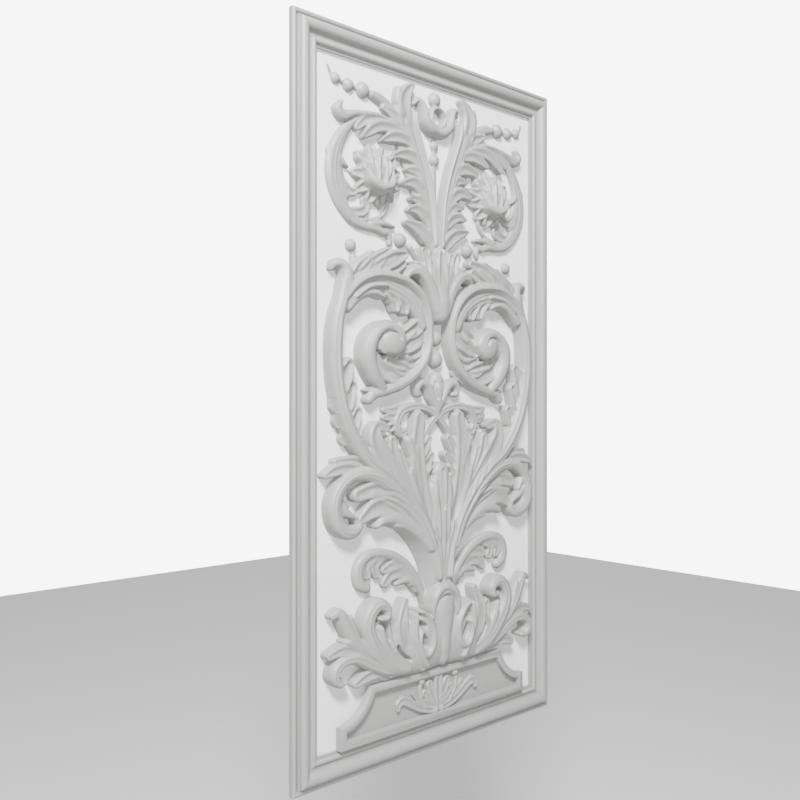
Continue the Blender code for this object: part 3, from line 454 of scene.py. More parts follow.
@dataclass
class Volute(Part):
    """The volute roll and the leaves inside and beside the scroll."""

    def draw(self) -> None:
        """Draw the lobes."""
        self.band([(-135, 24), (-153, 44), (-166, 72), (-163, 98), (-147, 117), (-125, 124),
                   (-104, 117), (-95, 103)], [10, 14, 16, 15, 12, 11, 11, 10],
                  [24, 28, 31, 33, 33, 33, 33, 32], 14)
        self.vein([0.45], 0.12, 1.4)
        self.band([(-136, 93), (-126, 105), (-112, 103)], [13, 17, 20], 27, 25)
        self.ball(-115, 101, 25, 36, 26)
        self.cut([(-147, 84), (-149, 98), (-141, 110), (-127, 115), (-114, 113), (-107, 103)],
                 [2.4, 2.2, 2, 1.8, 1.5, 1], 26)
        self.band([(-50, 52), (-80, 42), (-115, 46), (-138, 57), (-150, 74)], [10, 14, 15, 13, 6], 27,
                  10, "scoop")
        self.band([(-60, 50), (-92, 56), (-120, 68)], [9, 13, 6], 26, 10, "scoop")
        self.band([(-46, 64), (-70, 66), (-94, 72)], [9, 10, 6], 25, 10, "scoop")
        self.band([(-36, 142), (-52, 128), (-70, 117), (-86, 112)], [8, 13, 12, 5], 27, 9, "scoop")
        self.band([(-33, 124), (-56, 106), (-76, 94), (-92, 86)], [10, 15, 13, 5], 28, 9, "scoop")
        self.band([(-32, 104), (-50, 88), (-72, 76)], [9, 12, 6], 26, 9, "scoop")
        self.band([(-226, -6), (-220, 22), (-212, 44), (-203, 60)], [9, 14, 16, 8], 28, 11, "scoop")
        self.band([(-220, -30), (-208, -2), (-197, 24)], [9, 14, 8], 27, 10, "scoop")
        self.band([(-207, -58), (-195, -36), (-185, -16)], [9, 13, 7], 26, 10, "scoop")


@dataclass
class Fleuron(Part):
    """The small flower and the two crossing arms."""

    def draw(self) -> None:
        """Draw the lobes."""
        self.band([(0, -14), (0, 8), (0, 24), (0, 38)], [7, 14, 18, 14], [16, 20, 21, 18], 8)
        self.band([(0, -12), (-13, 10), (-26, 28), (-40, 33), (-49, 25), (-47, 14), (-39, 13)],
                  [8, 10, 9, 9, 8, 6, 4], [17, 18, 18, 18, 17, 15, 13], 7)
        self.cut([(-9, 34), (-11, 22), (-5, 6)], [2.5, 3, 2], 12)
        for m in (1, -1):
            self.band([(m * -48, -100), (m * -38, -72), (m * -22, -45), (0, -25), (m * 22, -13),
                       (m * 45, -8), (m * 62, -9), (m * 82, -15), (m * 93, -28), (m * 95, -42),
                       (m * 86, -54), (m * 76, -50)], [6, 6, 6.5, 6.5, 7, 7.5, 8, 8, 8, 8, 9, 7], 15, 7,
                      "flute")
        self.band([(-84, -14), (-104, -15), (-122, -13)], [8, 7, 2], 14, 7, "scoop")
        self.band([(-88, -22), (-107, -25), (-122, -26)], [8, 7, 2], 13, 7, "scoop")
        self.band([(-92, -32), (-112, -38)], [8, 3], 12, 7)
        self.band([(-92, -42), (-106, -48)], [6, 2], 11, 7)


@dataclass
class Bouquet(Part):
    """The upright leaves of the bouquet."""

    def draw(self) -> None:
        """Draw the lobes."""
        self.band([(-10, -290), (-20, -230), (-36, -180), (-48, -140), (-55, -100), (-55, -65),
                   (-49, -26)], [6, 8, 11, 14, 15, 13, 8], [29, 30, 29, 27, 26, 24, 22], (17, 17),
                  "scoop")
        self.band([(-56, -110), (-66, -85), (-75, -64)], [10, 10, 7], 23, 15)
        self.band([(-50, -102), (-39, -84), (-24, -64)], [9, 10, 4], 23, 12, "scoop")
        self.band([(-46, -128), (-33, -110), (-18, -92)], [9, 10, 4], 23, 12, "scoop")
        self.band([(-42, -140), (-32, -122), (-20, -112)], [8, 7, 3], 21, 14)
        self.band([(0, -310), (0, -220), (0, -160), (0, -122)], [8, 11, 15, 18], [30, 31, 30, 28], 18)
        self.band([(-6, -300), (-10, -220), (-16, -170), (-16, -135)], [6, 8, 9, 7], [29, 31, 30, 27],
                  18)
        self.cut([(0, -118), (0, -150), (0, -185)], [3, 2.6, 1.6], 22)
        self.band([(-8, -190), (-22, -155), (-32, -126)], [8, 10, 4], 24, 15, "scoop")
        self.band([(-10, -225), (-26, -192), (-35, -166)], [8, 9, 4], 25, 15, "scoop")
        self.band([(-35, -210), (-70, -160), (-112, -113), (-138, -84), (-151, -58), (-145, -40),
                   (-126, -43)], [7, 10, 14, 16, 12, 8, 4], [33, 31, 29, 28, 27, 24, 20], 18, "scoop")
        self.band([(-60, -170), (-90, -128), (-106, -95), (-113, -64)], [8, 11, 11, 6], 27, 17, "scoop")
        self.band([(-52, -175), (-78, -135), (-90, -108), (-97, -85)], [7, 10, 10, 5], 26, 17, "scoop")
        self.band([(-40, -195), (-60, -155), (-74, -118)], [7, 9, 7], 26, 17)


@dataclass
class LowerScroll(Part):
    """The lower outer scroll, its leaves and the trunk."""

    def draw(self) -> None:
        """Draw the lobes."""
        self.band([(-165, -104), (-195, -95), (-228, -94)], [7, 8, 3], 21, 13, "scoop")
        self.band([(-160, -112), (-205, -105), (-232, -108), (-251, -115)], [7, 9, 8, 2], 22, 14,
                  "scoop")
        self.band([(-30, -250), (-50, -210), (-88, -165), (-125, -134), (-160, -118), (-195, -118),
                   (-222, -133), (-235, -160), (-231, -188), (-215, -204), (-197, -206), (-185, -197),
                   (-190, -188)], [8, 10, 12, 13, 12, 10, 11, 12, 12, 12, 11, 8, 4],
                  [34, 32, 31, 30, 29, 28, 28, 28, 28, 28, 27, 25, 22], (19, 16))
        self.vein([-0.35, 0.2, 0.6], 0.15, 2.2)
        self.band([(-228, -140), (-218, -150), (-208, -165)], [9, 7, 3], 23, 15)
        self.band([(-226, -165), (-210, -176), (-191, -185)], [9, 8, 3], 23, 15)
        self.band([(-228, -172), (-222, -182), (-223, -192)], [7, 6, 3], 22, 15)
        self.band([(-40, -225), (-62, -190), (-95, -157), (-128, -143), (-160, -143), (-186, -149)],
                  [6, 8, 9, 11, 12, 8], [32, 30, 29, 28, 27, 24], 17, "scoop")
        self.band([(-35, -245), (-60, -212), (-92, -184), (-130, -172), (-155, -174), (-177, -187)],
                  [6, 10, 14, 16, 14, 6], [33, 32, 30, 29, 28, 24], 17, "scoop")
        self.band([(-50, -228), (-75, -208), (-105, -194), (-132, -193), (-150, -201)],
                  [7, 11, 12, 11, 5], 27, 16)
        self.band([(-45, -235), (-75, -212), (-108, -204)], [8, 9, 5], 26, 16)
        self.band([(-22, -325), (-22, -290), (-27, -262), (-42, -240), (-64, -223), (-92, -209)],
                  [13, 16, 21, 20, 14, 6], [26, 27, 28, 28, 27, 25], (1.5, 20), "keel")
        self.band([(-4, -330), (-6, -290), (-12, -250), (-24, -215)], [17, 16, 15, 10],
                  [27, 29, 31, 31], 20)
        self.vein([-0.4, 0.2], 0.16, 2.0)
        self.band([(-12, -330), (-15, -285), (-26, -248), (-50, -215)], [8, 8, 8, 7], [27, 30, 32, 32],
                  20)


@dataclass
class Sprig(Part):
    """The side sprig."""

    def draw(self) -> None:
        """Draw the lobes."""
        self.band([(-30, -345), (-46, -306), (-70, -277), (-97, -259), (-125, -250), (-152, -249),
                   (-171, -259), (-178, -277), (-173, -295), (-161, -302)],
                  [7, 8, 8, 8, 8, 8, 9, 10, 10, 9], 14, 6)
        self.vein([-0.2, 0.4], 0.2, 1.5)
        self.band([(-132, -252), (-153, -259), (-162, -270), (-158, -282)], [7, 8, 7, 5], 14, 6,
                  "scoop")
        self.band([(-112, -254), (-133, -259), (-143, -270), (-138, -283)], [7, 8, 7, 5], 14, 6,
                  "scoop")
        self.band([(-72, -284), (-100, -273), (-121, -278)], [7, 8, 4], 14, 6, "scoop")
        self.band([(-58, -298), (-85, -286), (-107, -289), (-120, -300)], [7, 10, 9, 5], 14, 6, "scoop")
        self.band([(-48, -314), (-70, -301), (-96, -304)], [7, 8, 4], 13, 6)
        self.band([(-36, -330), (-54, -312), (-66, -310)], [6, 6, 3], 12, 6)


@dataclass
class Cup(Part):
    """The leafy cup, its scrolls and the hooded leaf."""

    def draw(self) -> None:
        """Draw the lobes."""
        self.band([(-128, -428), (-95, -428), (-60, -424), (-28, -418)], [18, 27, 33, 38],
                  [26, 30, 33, 34], 19)
        self.band([(-152, -365), (-146, -385), (-130, -410)], [10, 14, 14], 20, 14)
        self.band([(-70, -449), (-110, -443), (-150, -423), (-190, -401), (-220, -391), (-244, -396)],
                  [5, 8, 9, 9, 8, 3], [27, 28, 28, 27, 26, 22], 18, "scoop")
        self.band([(-90, -450), (-130, -440), (-160, -425), (-190, -409), (-212, -407), (-231, -415),
                   (-236, -430), (-226, -441), (-214, -440)], [5, 8, 10, 10, 9, 9, 9, 7, 4], 28, 18)
        self.vein([0.0], 0.2, 2.2)
        self.band([(-125, -450), (-150, -441), (-172, -443), (-189, -450)], [6, 8, 8, 4], 26, 17,
                  "scoop")
        self.band([(-150, -415), (-180, -395), (-200, -370), (-213, -347), (-224, -332), (-237, -335)],
                  [8, 11, 11, 10, 8, 5], [28, 28, 27, 26, 24, 20], 17)
        self.vein([-0.3, 0.35], 0.18, 2.2)
        self.band([(-192, -372), (-203, -341)], [8, 4], 24, 17)
        self.band([(-150, -410), (-190, -388), (-214, -378)], [8, 9, 4], 25, 17)
        self.band([(-85, -445), (-115, -435), (-142, -412), (-160, -388), (-170, -360), (-162, -338),
                   (-145, -329), (-129, -338), (-131, -352), (-145, -352)],
                  [10, 14, 15, 14, 13, 12, 11, 9, 7, 4], 32, 20)
        self.vein([-0.2, 0.4], 0.15, 2.2)
        self.band([(-95, -438), (-120, -415), (-136, -392), (-143, -368)], [8, 10, 10, 6], 30, 18)
        self.band([(-72, -442), (-98, -418), (-112, -392), (-118, -366)], [8, 10, 9, 5],
                  [32, 33, 32, 26], 18, "scoop")
        self.band([(-50, -446), (-76, -425), (-92, -395), (-96, -365), (-85, -333)], [9, 11, 12, 11, 3],
                  [34, 36, 36, 34, 26], 20, "scoop")
        self.band([(-45, -445), (-62, -420), (-72, -390), (-70, -357)], [7, 9, 10, 6], 37, 20)
        self.band([(-60, -352), (-44, -364), (-31, -388), (-32, -412), (-44, -427), (-58, -422),
                   (-64, -404), (-60, -385)], [5, 7, 8, 8, 7, 6, 5, 4], 39, 22)
        self.cut([(-55, -394), (-50, -404), (-46, -413)], [4, 7, 5], 12)
        self.cut([(-60, -372), (-50, -379)], [4, 3], 13)
        self.cut([(-107, -404), (-96, -420), (-82, -430)], [3, 4, 2], 16)
        self.band([(0, -334), (0, -356), (0, -378), (0, -402), (0, -422), (0, -437)],
                  [22, 27, 22, 14, 17, 18], [37, 39, 39, 37, 36, 32], (22, 22))
        self.band([(-29, -368), (-31, -350), (-26, -333), (-14, -322), (0, -318)], [4, 6, 8, 9, 9],
                  [34, 37, 39, 39, 39], 26)
        self.cut([(-13, -338), (-6, -334), (0, -333)], [1.6, 2.4, 2.8], 30)


@dataclass
class Calyx(Part):
    """The calyx at the crossing of the plumes."""

    def draw(self) -> None:
        """Draw the lobes."""
        self.band([(0, 153), (0, 172), (0, 200), (0, 232), (0, 256)], [19, 21, 22, 22, 14],
                  [31, 33, 28, 22, 18], 13)
        self.band([(-10, 158), (-22, 188), (-36, 209), (-53, 221), (-69, 220), (-79, 211)],
                  [12, 13, 12, 11, 10, 6], [30, 30, 30, 29, 27, 22], 13)
        self.vein([0.1], 0.2, 1.6)
        self.band([(-30, 216), (-46, 230), (-60, 236)], [8, 7, 4], 24, 11)
        self.band([(-9, 166), (-21, 205), (-32, 236), (-41, 258)], [8, 12, 10, 4], 30, 13, "scoop")
        self.band([(-8, 172), (-18, 215), (-25, 254)], [7, 11, 4], [32, 32, 31, 27], 16, "scoop")
        self.band([(0, 168), (0, 214), (0, 256)], [7, 13, 8], [33, 33, 32, 30], 18, "scoop")
        self.cut([(0, 264)], [3.5], 16)


@dataclass
class LeafBodies(Part):
    """The webs that lie under the leaves and join them."""

    def draw(self) -> None:
        """Draw the lobes."""
        self.band([(-24, 300), (-42, 350), (-64, 400), (-82, 440), (-82, 465)], [10, 12, 13, 12, 8], 9,
                  6)
        self.band([(-85, 450), (-120, 460), (-150, 456)], [8, 10, 6], 12, 9)
        self.band([(-208, 165), (-180, 195), (-145, 218), (-105, 235)], [8, 13, 15, 11], 19, 12)
        self.band([(-160, 190), (-125, 198), (-90, 185), (-65, 160)], [9, 12, 12, 9], 19, 12)
        self.band([(-45, 60), (-85, 45), (-125, 40)], [8, 11, 9], 17, 11)
        self.band([(-34, 130), (-50, 108), (-66, 95)], [10, 13, 8], 17, 11)
        self.band([(-212, -20), (-208, 10), (-206, 35)], [9, 10, 9], 18, 12)
        self.vein([-0.3, 0.3], 0.16, 2.0)
        self.band([(-55, -190), (-80, -150), (-105, -115), (-125, -85)], [12, 17, 18, 12], 22, 15)
        self.vein([-0.6, -0.2, 0.2, 0.6], 0.1, 2.0)
        self.band([(-50, -215), (-85, -180), (-120, -160), (-155, -150)], [12, 20, 22, 12], 23, 15)
        self.vein([-0.6, -0.2, 0.2, 0.6], 0.1, 2.0)
        self.band([(-48, -160), (-56, -110), (-58, -80)], [10, 14, 10], 22, 15)
        self.band([(-50, -320), (-72, -288), (-100, -270)], [7, 11, 8], 10, 6)
        self.band([(-105, -253), (-135, -258), (-155, -264)], [5, 9, 9], 10, 6)
        self.band([(-165, -408), (-195, -397), (-220, -396)], [12, 13, 8], 22, 16)
        self.band([(-185, -398), (-205, -365), (-218, -345)], [12, 11, 8], 22, 16)
        self.band([(-130, -425), (-100, -400), (-92, -370)], [22, 26, 14], 28, 18)
        self.band([(-170, -352), (-157, -380), (-140, -405)], [10, 13, 14], 22, 16)
        self.band([(-30, -425), (-40, -385), (-50, -370)], [20, 24, 16], 34, 20)
        self.ball(-139, 371, 34, 25, 6)
        self.band([(0, -8), (-14, 12), (-22, 22)], [10, 12, 9], 15, 7)
        self.band([(0, 156), (-12, 195), (-20, 225)], [18, 17, 12], 26, 15)
        self.band([(-10, -310), (-14, -250), (-16, -200), (-14, -150)], [10, 16, 18, 16], 26, 16)
        self.vein([-0.5, 0.0, 0.5], 0.1, 1.6)


@dataclass
class Palmette(Part):
    """The plinth's shell-shaped ornament.

    Args:
        base: Height of the sunk face.
        top: Height of the crests.
    """

    base: float = 9.0
    top: float = 18.3

    def leaf(self, points: list, widths: list, rise: float = 1.0, form: str = "round") -> None:
        """Add a lobe that rises a share of the way to the top."""
        crest = self.base + rise * (self.top - self.base)
        self.lobes.append(Lobe(points, widths, crest, self.base + 3.0, Form(form)))

    def draw(self) -> None:
        """Draw the lobes."""
        self.leaf([(-60, -495), (-46, -510), (-30, -524)], [3, 5.5, 5], 0.7, "scoop")
        self.leaf([(-41, -480), (-44, -490), (-41, -506), (-28, -525)], [3.5, 3.8, 3.8, 3.8], 0.7)
        self.leaf([(-40.8, -478)], [6.5], 1.0)
        self.leaf([(-8, -533), (-22, -531), (-45, -523), (-68, -509), (-84, -502), (-94, -506),
                   (-95, -514)], [6, 6, 6.5, 8, 7.5, 6.5, 4.2], 0.85, "scoop")
        self.leaf([(-60, -516), (-74, -503), (-84, -494)], [5, 5, 2.5], 0.7, "scoop")
        self.leaf([(0, -530), (-18, -523), (-32, -516)], [5, 7.5, 6], 0.75, "scoop")
        self.leaf([(0, -530), (-18, -513), (-33, -500)], [5, 8.5, 6.5], 0.82, "scoop")
        self.leaf([(0, -530), (-13, -505), (-21, -487)], [5, 9, 7.5], 0.9, "scoop")
        self.leaf([(0, -528), (0, -506), (0, -480)], [5, 10, 10], 1.0, "scoop")
        self.leaf([(-7, -534)], [7.5], 1.0)


PARTS = (LeafBodies, BeadString, Plume, Ring, Rosette, Tulip, Fingers, OuterStem, UpperLeaf, Volute,
         Fleuron, Bouquet, LowerScroll, Sprig, Cup, Calyx)
# Grid spacing of the carving's face in millimetres, and the share of its facets that is kept
STEP = 1.25
RATIO = 0.5


@dataclass
class Relief:
    """Height field of a set of lobes on a square grid, mirrored about the middle.

    Args:
        lobes: The lobes of the left half.
        half: Half-width of the grid.
        low: Lowest z of the grid.
        high: Highest z of the grid.
        step: Grid spacing.
        floor: The carving is cut off below this z.
        base: Height above the board of the carving's flat back.
        soften: Times the face is smoothed.
    """

    lobes: list
    half: float
    low: float
    high: float
    step: float
    floor: float
    base: float = GAP / MM
    soften: int = 2

    def field(self, x: np.ndarray, z: np.ndarray) -> tuple:
        """Inset from the outline and height of the face at each point.

        Args:
            x: The points' x values.
            z: The points' z values.

        Returns:
            The insets, which are negative outside the outline, and the heights.
        """
        inset = np.full(x.shape, -99.0)
        height = np.zeros(x.shape)
        rim = np.zeros(x.shape)
        later = []
        for lobe in self.lobes:
            near, gain, s, face, high = lobe.reach(x, z)
            if lobe.form in (Form.CUT, Form.GROOVE):
                later.append((lobe.form, near, s, high))
                continue
            height[near] = np.where(gain > 0, np.maximum(height[near], face), height[near])
            first = gain > inset[near]
            rim[near] = np.where(first, face, rim[near])
            inset[near] = np.maximum(inset[near], gain)
        height = np.where(inset > 0, height, rim)
        for form, near, s, high in later:
            if form is Form.CUT:
                over = np.maximum(height[near] - high, 0.0)
                height[near] = height[near] - over * np.sqrt(1.0 - s * s)
            else:
                height[near] = height[near] - high * (1.0 - s * s)
        return inset, np.maximum(height, self.base + LEAST)

    def grid(self) -> tuple:
        """The mirrored grid: its x and z values, insets and softened heights."""
        n = int(math.ceil(self.half / self.step))
        left = np.arange(-n, 1) * self.step
        zs = np.arange(self.low, self.high + self.step, self.step)
        gx, gz = np.meshgrid(left, zs)
        inset, height = self.field(gx, gz)
        inset = np.minimum(inset, gz - self.floor)
        xs = np.arange(-n, n + 1) * self.step
        inset = np.hstack([inset, inset[:, -2::-1]])
        height = np.hstack([height, height[:, -2::-1]])
        weight = np.where(inset > -self.step, 1.0, 0.0)
        for _ in range(self.soften):
            total = height * weight
            for axis in (0, 1):
                total = 0.5 * total + 0.25 * (np.roll(total, 1, axis) + np.roll(total, -1, axis))
                smooth = 0.5 * weight + 0.25 * (np.roll(weight, 1, axis) + np.roll(weight, -1, axis))
                height = np.where(weight > 0, total / np.maximum(smooth, 1e-6), height)
                total = height * weight
        return xs, zs, inset, height


def facets(xs: np.ndarray, zs: np.ndarray, inset: np.ndarray, height: np.ndarray) -> tuple:
    """Corner points and faces of the part of a grid with a positive inset.

    Args:
        xs: The grid's x values.
        zs: The grid's z values.
        inset: Inset from the outline at each grid point.
        height: Height of the face at each grid point.

    Returns:
        The points as (x, z, height) and the faces as lists of point numbers.
    """
    least = 0.15 * (xs[1] - xs[0])
    inset = np.where(np.abs(inset) < least, np.where(inset > 0, least, -least), inset)
    points: list = []
    index: dict = {}

    def corner(i: int, k: int) -> int:
        """Number of a grid point."""
        key = (i, k)
        if key not in index:
            index[key] = len(points)
            points.append((xs[i], zs[k], height[k, i]))
        return index[key]

    def crossing(i: int, k: int, j: int, m: int) -> int:
        """Number of the point where the outline crosses a grid side."""
        key = (i, k, j, m) if (i, k) < (j, m) else (j, m, i, k)
        if key not in index:
            t = inset[k, i] / (inset[k, i] - inset[m, j])
            index[key] = len(points)
            points.append((xs[i] + t * (xs[j] - xs[i]), zs[k] + t * (zs[m] - zs[k]),
                           height[k, i] + t * (height[m, j] - height[k, i])))
        return index[key]

    faces = []
    solid = inset > 0
    some = solid[:-1, :-1] | solid[1:, :-1] | solid[:-1, 1:] | solid[1:, 1:]
    for k, i in zip(*np.nonzero(some)):
        ring = ((i, k), (i + 1, k), (i + 1, k + 1), (i, k + 1))
        face = []
        for n in range(4):
            a, b = ring[n], ring[(n + 1) % 4]
            if solid[a[1], a[0]]:
                face.append(corner(*a))
            if solid[a[1], a[0]] != solid[b[1], b[0]]:
                face.append(crossing(*a, *b))
        faces.append(face)
    return points, faces


def depth(height: float) -> float:
    """Y of a height above the board's front face."""
    return -(BOARD_T + height * MM)


def linear(code: str) -> tuple:
    """Linear colour of an sRGB hex code."""
    parts = [int(code[i:i + 2], 16) / 255.0 for i in (1, 3, 5)]
    return tuple(c / 12.92 if c <= 0.04045 else ((c + 0.055) / 1.055) ** 2.4 for c in parts) + (1.0,)


def add_node(tree: bpy.types.NodeTree, kind: str, **values: object) -> bpy.types.Node:
    """Add one shader node and set its named inputs.

    Args:
        tree: The node tree.
        kind: The node's type.
        values: Values of its inputs, or of its own settings.

    Returns:
        The node.
    """
    node = tree.nodes.new(kind)
    for key, value in values.items():
        if key in node.inputs:
            node.inputs[key].default_value = value
        else:
            setattr(node, key, value)
    return node


@dataclass(frozen=True)
class Paint:
    """A painted wood finish.

    Args:
        name: Material name.
        light: Hex colour of the paint.
        dark: Hex colour of its faint mottling.
        roughness: Roughness of the paint.
        grain: Height of the brushed surface, in metres.
    """

    name: str
    light: str
    dark: str
    roughness: float = 0.5
    grain: float = 0.00003

    def build(self) -> bpy.types.Material:
        """Make the node material."""
        material = bpy.data.materials.new(self.name)
        material.use_nodes = True
        tree = material.node_tree
        shader = tree.nodes["Principled BSDF"]
        shader.inputs["Roughness"].default_value = self.roughness
        where = add_node(tree, "ShaderNodeTexCoord")
        # Faint cloudiness of brushed paint, about 40 mm across
        cloud = add_node(tree, "ShaderNodeTexNoise", Scale=25.0, Detail=3.0, Roughness=0.5)
        mix = add_node(tree, "ShaderNodeMix", data_type="RGBA")
        # Sockets 6 and 7 take this node's two colours
        mix.inputs[6].default_value = linear(self.light)
        mix.inputs[7].default_value = linear(self.dark)
        # Fine tooth of the painted surface, about 1.5 mm across
        tooth = add_node(tree, "ShaderNodeTexNoise", Scale=700.0, Detail=2.0, Roughness=0.5)
        bump = add_node(tree, "ShaderNodeBump", Strength=0.25, Distance=self.grain)
        link = tree.links.new
        link(where.outputs["Object"], cloud.inputs["Vector"])
        link(where.outputs["Object"], tooth.inputs["Vector"])
        link(cloud.outputs["Fac"], mix.inputs[0])
        link(mix.outputs[2], shader.inputs["Base Color"])
        link(tooth.outputs["Fac"], bump.inputs["Height"])
        link(bump.outputs["Normal"], shader.inputs["Normal"])
        return material


# Satin paint on the carving, moulding and plinth; flat white paint on the board
GREY = Paint("grey_paint", "#838382", "#7E7E7D")
WHITE = Paint("white_paint", "#D4D4D3", "#D0D0CF", 0.7)
# Plain matt floor of the studio
FLOOR = Paint("floor_white", "#D0D0D0", "#CECECE", 0.8)


def mesh_of(points: list, faces: list) -> bpy.types.Mesh:
    """Mesh of points and faces with its faces turned outward."""
    mesh = bpy.data.meshes.new("piece")
    mesh.from_pydata(points, [], faces)
    bm = bmesh.new()
    bm.from_mesh(mesh)
    bmesh.ops.recalc_face_normals(bm, faces=bm.faces)
    bm.to_mesh(mesh)
    bm.free()
    return mesh


def choose(obj: bpy.types.Object) -> None:
    """Select one object alone and make it active."""
    bpy.ops.object.select_all(action="DESELECT")
    obj.select_set(True)
    bpy.context.view_layer.objects.active = obj


def place(name: str, mesh: bpy.types.Mesh, material: bpy.types.Material) -> bpy.types.Object:
    """Link a mesh as a named object with one material."""
    mesh.name = name
    obj = bpy.data.objects.new(name, mesh)
    bpy.context.collection.objects.link(obj)
    mesh.materials.clear()
    mesh.materials.append(material)
    return obj


def shade(obj: bpy.types.Object, degrees: float) -> None:
    """Smooth shading below an angle."""
    choose(obj)
    bpy.ops.object.shade_smooth_by_angle(angle=math.radians(degrees))


def thin(obj: bpy.types.Object, ratio: float) -> None:
    """Keep a share of the facets."""
    choose(obj)
    modifier = obj.modifiers.new("thin", "DECIMATE")
    modifier.ratio = ratio
    bpy.ops.object.modifier_apply(modifier=modifier.name)


def closed(name: str, relief: Relief, material: bpy.types.Material, ratio: float) -> bpy.types.Object:
    """Closed piece of a relief: its face, upright walls and a flat back.

    Args:
        name: The piece's name.
        relief: Its height field.
        material: Its finish.
        ratio: Share of the face's facets that is kept.

    Returns:
        The new piece.
    """
    xs, zs, inset, height = relief.grid()
    points, faces = facets(xs, zs, inset, height)
    front = cad_box[0][1] + CLEAR
    spots = [(x * MM, max(depth(h), front), z * MM) for x, z, h in points]
    obj = place(name, mesh_of(spots, faces), material)
    if ratio < 1.0:
        thin(obj, ratio)
    bm = bmesh.new()
    bm.from_mesh(obj.data)
    rim = [edge for edge in bm.edges if edge.is_boundary]
    walls = bmesh.ops.extrude_edge_only(bm, edges=rim)
    lower = [item for item in walls["geom"] if isinstance(item, bmesh.types.BMVert)]
    back = depth(relief.base)
    for vert in lower:
        vert.co.y = back
    foot = [item for item in walls["geom"] if isinstance(item, bmesh.types.BMEdge)]
    at = {vert: i for i, vert in enumerate(lower)}
    sides = [(at[edge.verts[0]], at[edge.verts[1]]) for edge in foot]
    flat = [Vector((vert.co.x, vert.co.z)) for vert in lower]
    a = np.array([flat[i] for i, _ in sides])
    b = np.array([flat[j] for _, j in sides])
    verts, _, triangles, source, *_ = delaunay_2d_cdt(flat, sides, [], 0, 1e-9)
    for face in triangles:
        x, z = sum((verts[i] for i in face), Vector((0.0, 0.0))) / len(face)
        spans = (a[:, 1] > z) != (b[:, 1] > z)
        t = (z - a[spans, 1]) / (b[spans, 1] - a[spans, 1])
        inside = np.count_nonzero(a[spans, 0] + t * (b[spans, 0] - a[spans, 0]) > x) % 2
        if inside and all(source[i] for i in face):
            bm.faces.new([lower[source[i][0]] for i in face])
    bmesh.ops.recalc_face_normals(bm, faces=bm.faces)
    bm.to_mesh(obj.data)
    bm.free()
    return obj


@dataclass
class Moulding:
    """The four mitred lengths round the panel.

    Args:
        profile: Distance in from the outer edge and height above the board, in units.
    """

    profile: list = field(default_factory=lambda: [
        (0.0, 8.9), (0.9, 10.2), (2.5, 11.0), (4.3, 11.1), (6.0, 10.4), (7.8, 8.6), (9.4, 6.1),
        (9.4, 10.9), (12.3, 10.9), (12.3, 16.3), (13.4, 17.9), (15.0, 19.1), (17.0, 19.8),
        (19.0, 20.0), (21.2, 19.7), (23.4, 18.8), (25.4, 17.5), (27.0, 16.0), (28.3, 13.4),
        (29.4, 10.0), (30.6, 9.3), (33.0, 8.9), (35.4, 9.1), (37.4, 9.7), (38.0, 10.8),
        (39.0, 11.7), (40.5, 12.0), (42.2, 11.6), (43.7, 10.5), (44.8, 8.8), (44.8, 5.6),
        (49.2, 5.6),
    ])

    def length(self, name: str, turned: bool, sign: int,
               material: bpy.types.Material) -> bpy.types.Object:
        """One length of the moulding, mitred at both ends.

        Args:
            name: The piece's name.
            turned: Whether it runs up a side instead of along the top or bottom.
            sign: Which of the two, 1 or -1.
            material: Its finish.

        Returns:
            The new piece.
        """
        outer = [(0.0, GAP / MM)] + self.profile + [(self.profile[-1][0], GAP / MM)]
        run_half, off_half = (PANEL_H / 2, PANEL_W / 2) if turned else (PANEL_W / 2, PANEL_H / 2)
        points = []
        for end in (-1, 1):
            for u, h in outer:
                run = end * (run_half - u * MM - GAP * 0.75)
                off = sign * (off_half - u * MM)
                points.append((off, depth(h), run) if turned else (run, depth(h), off))
        n = len(outer)
        faces = [tuple(range(n)), tuple(range(2 * n - 1, n - 1, -1))]
        faces += [(i, (i + 1) % n, n + (i + 1) % n, n + i) for i in range(n)]
        obj = place(name, mesh_of(points, faces), material)
        shade(obj, 32.0)
        return obj


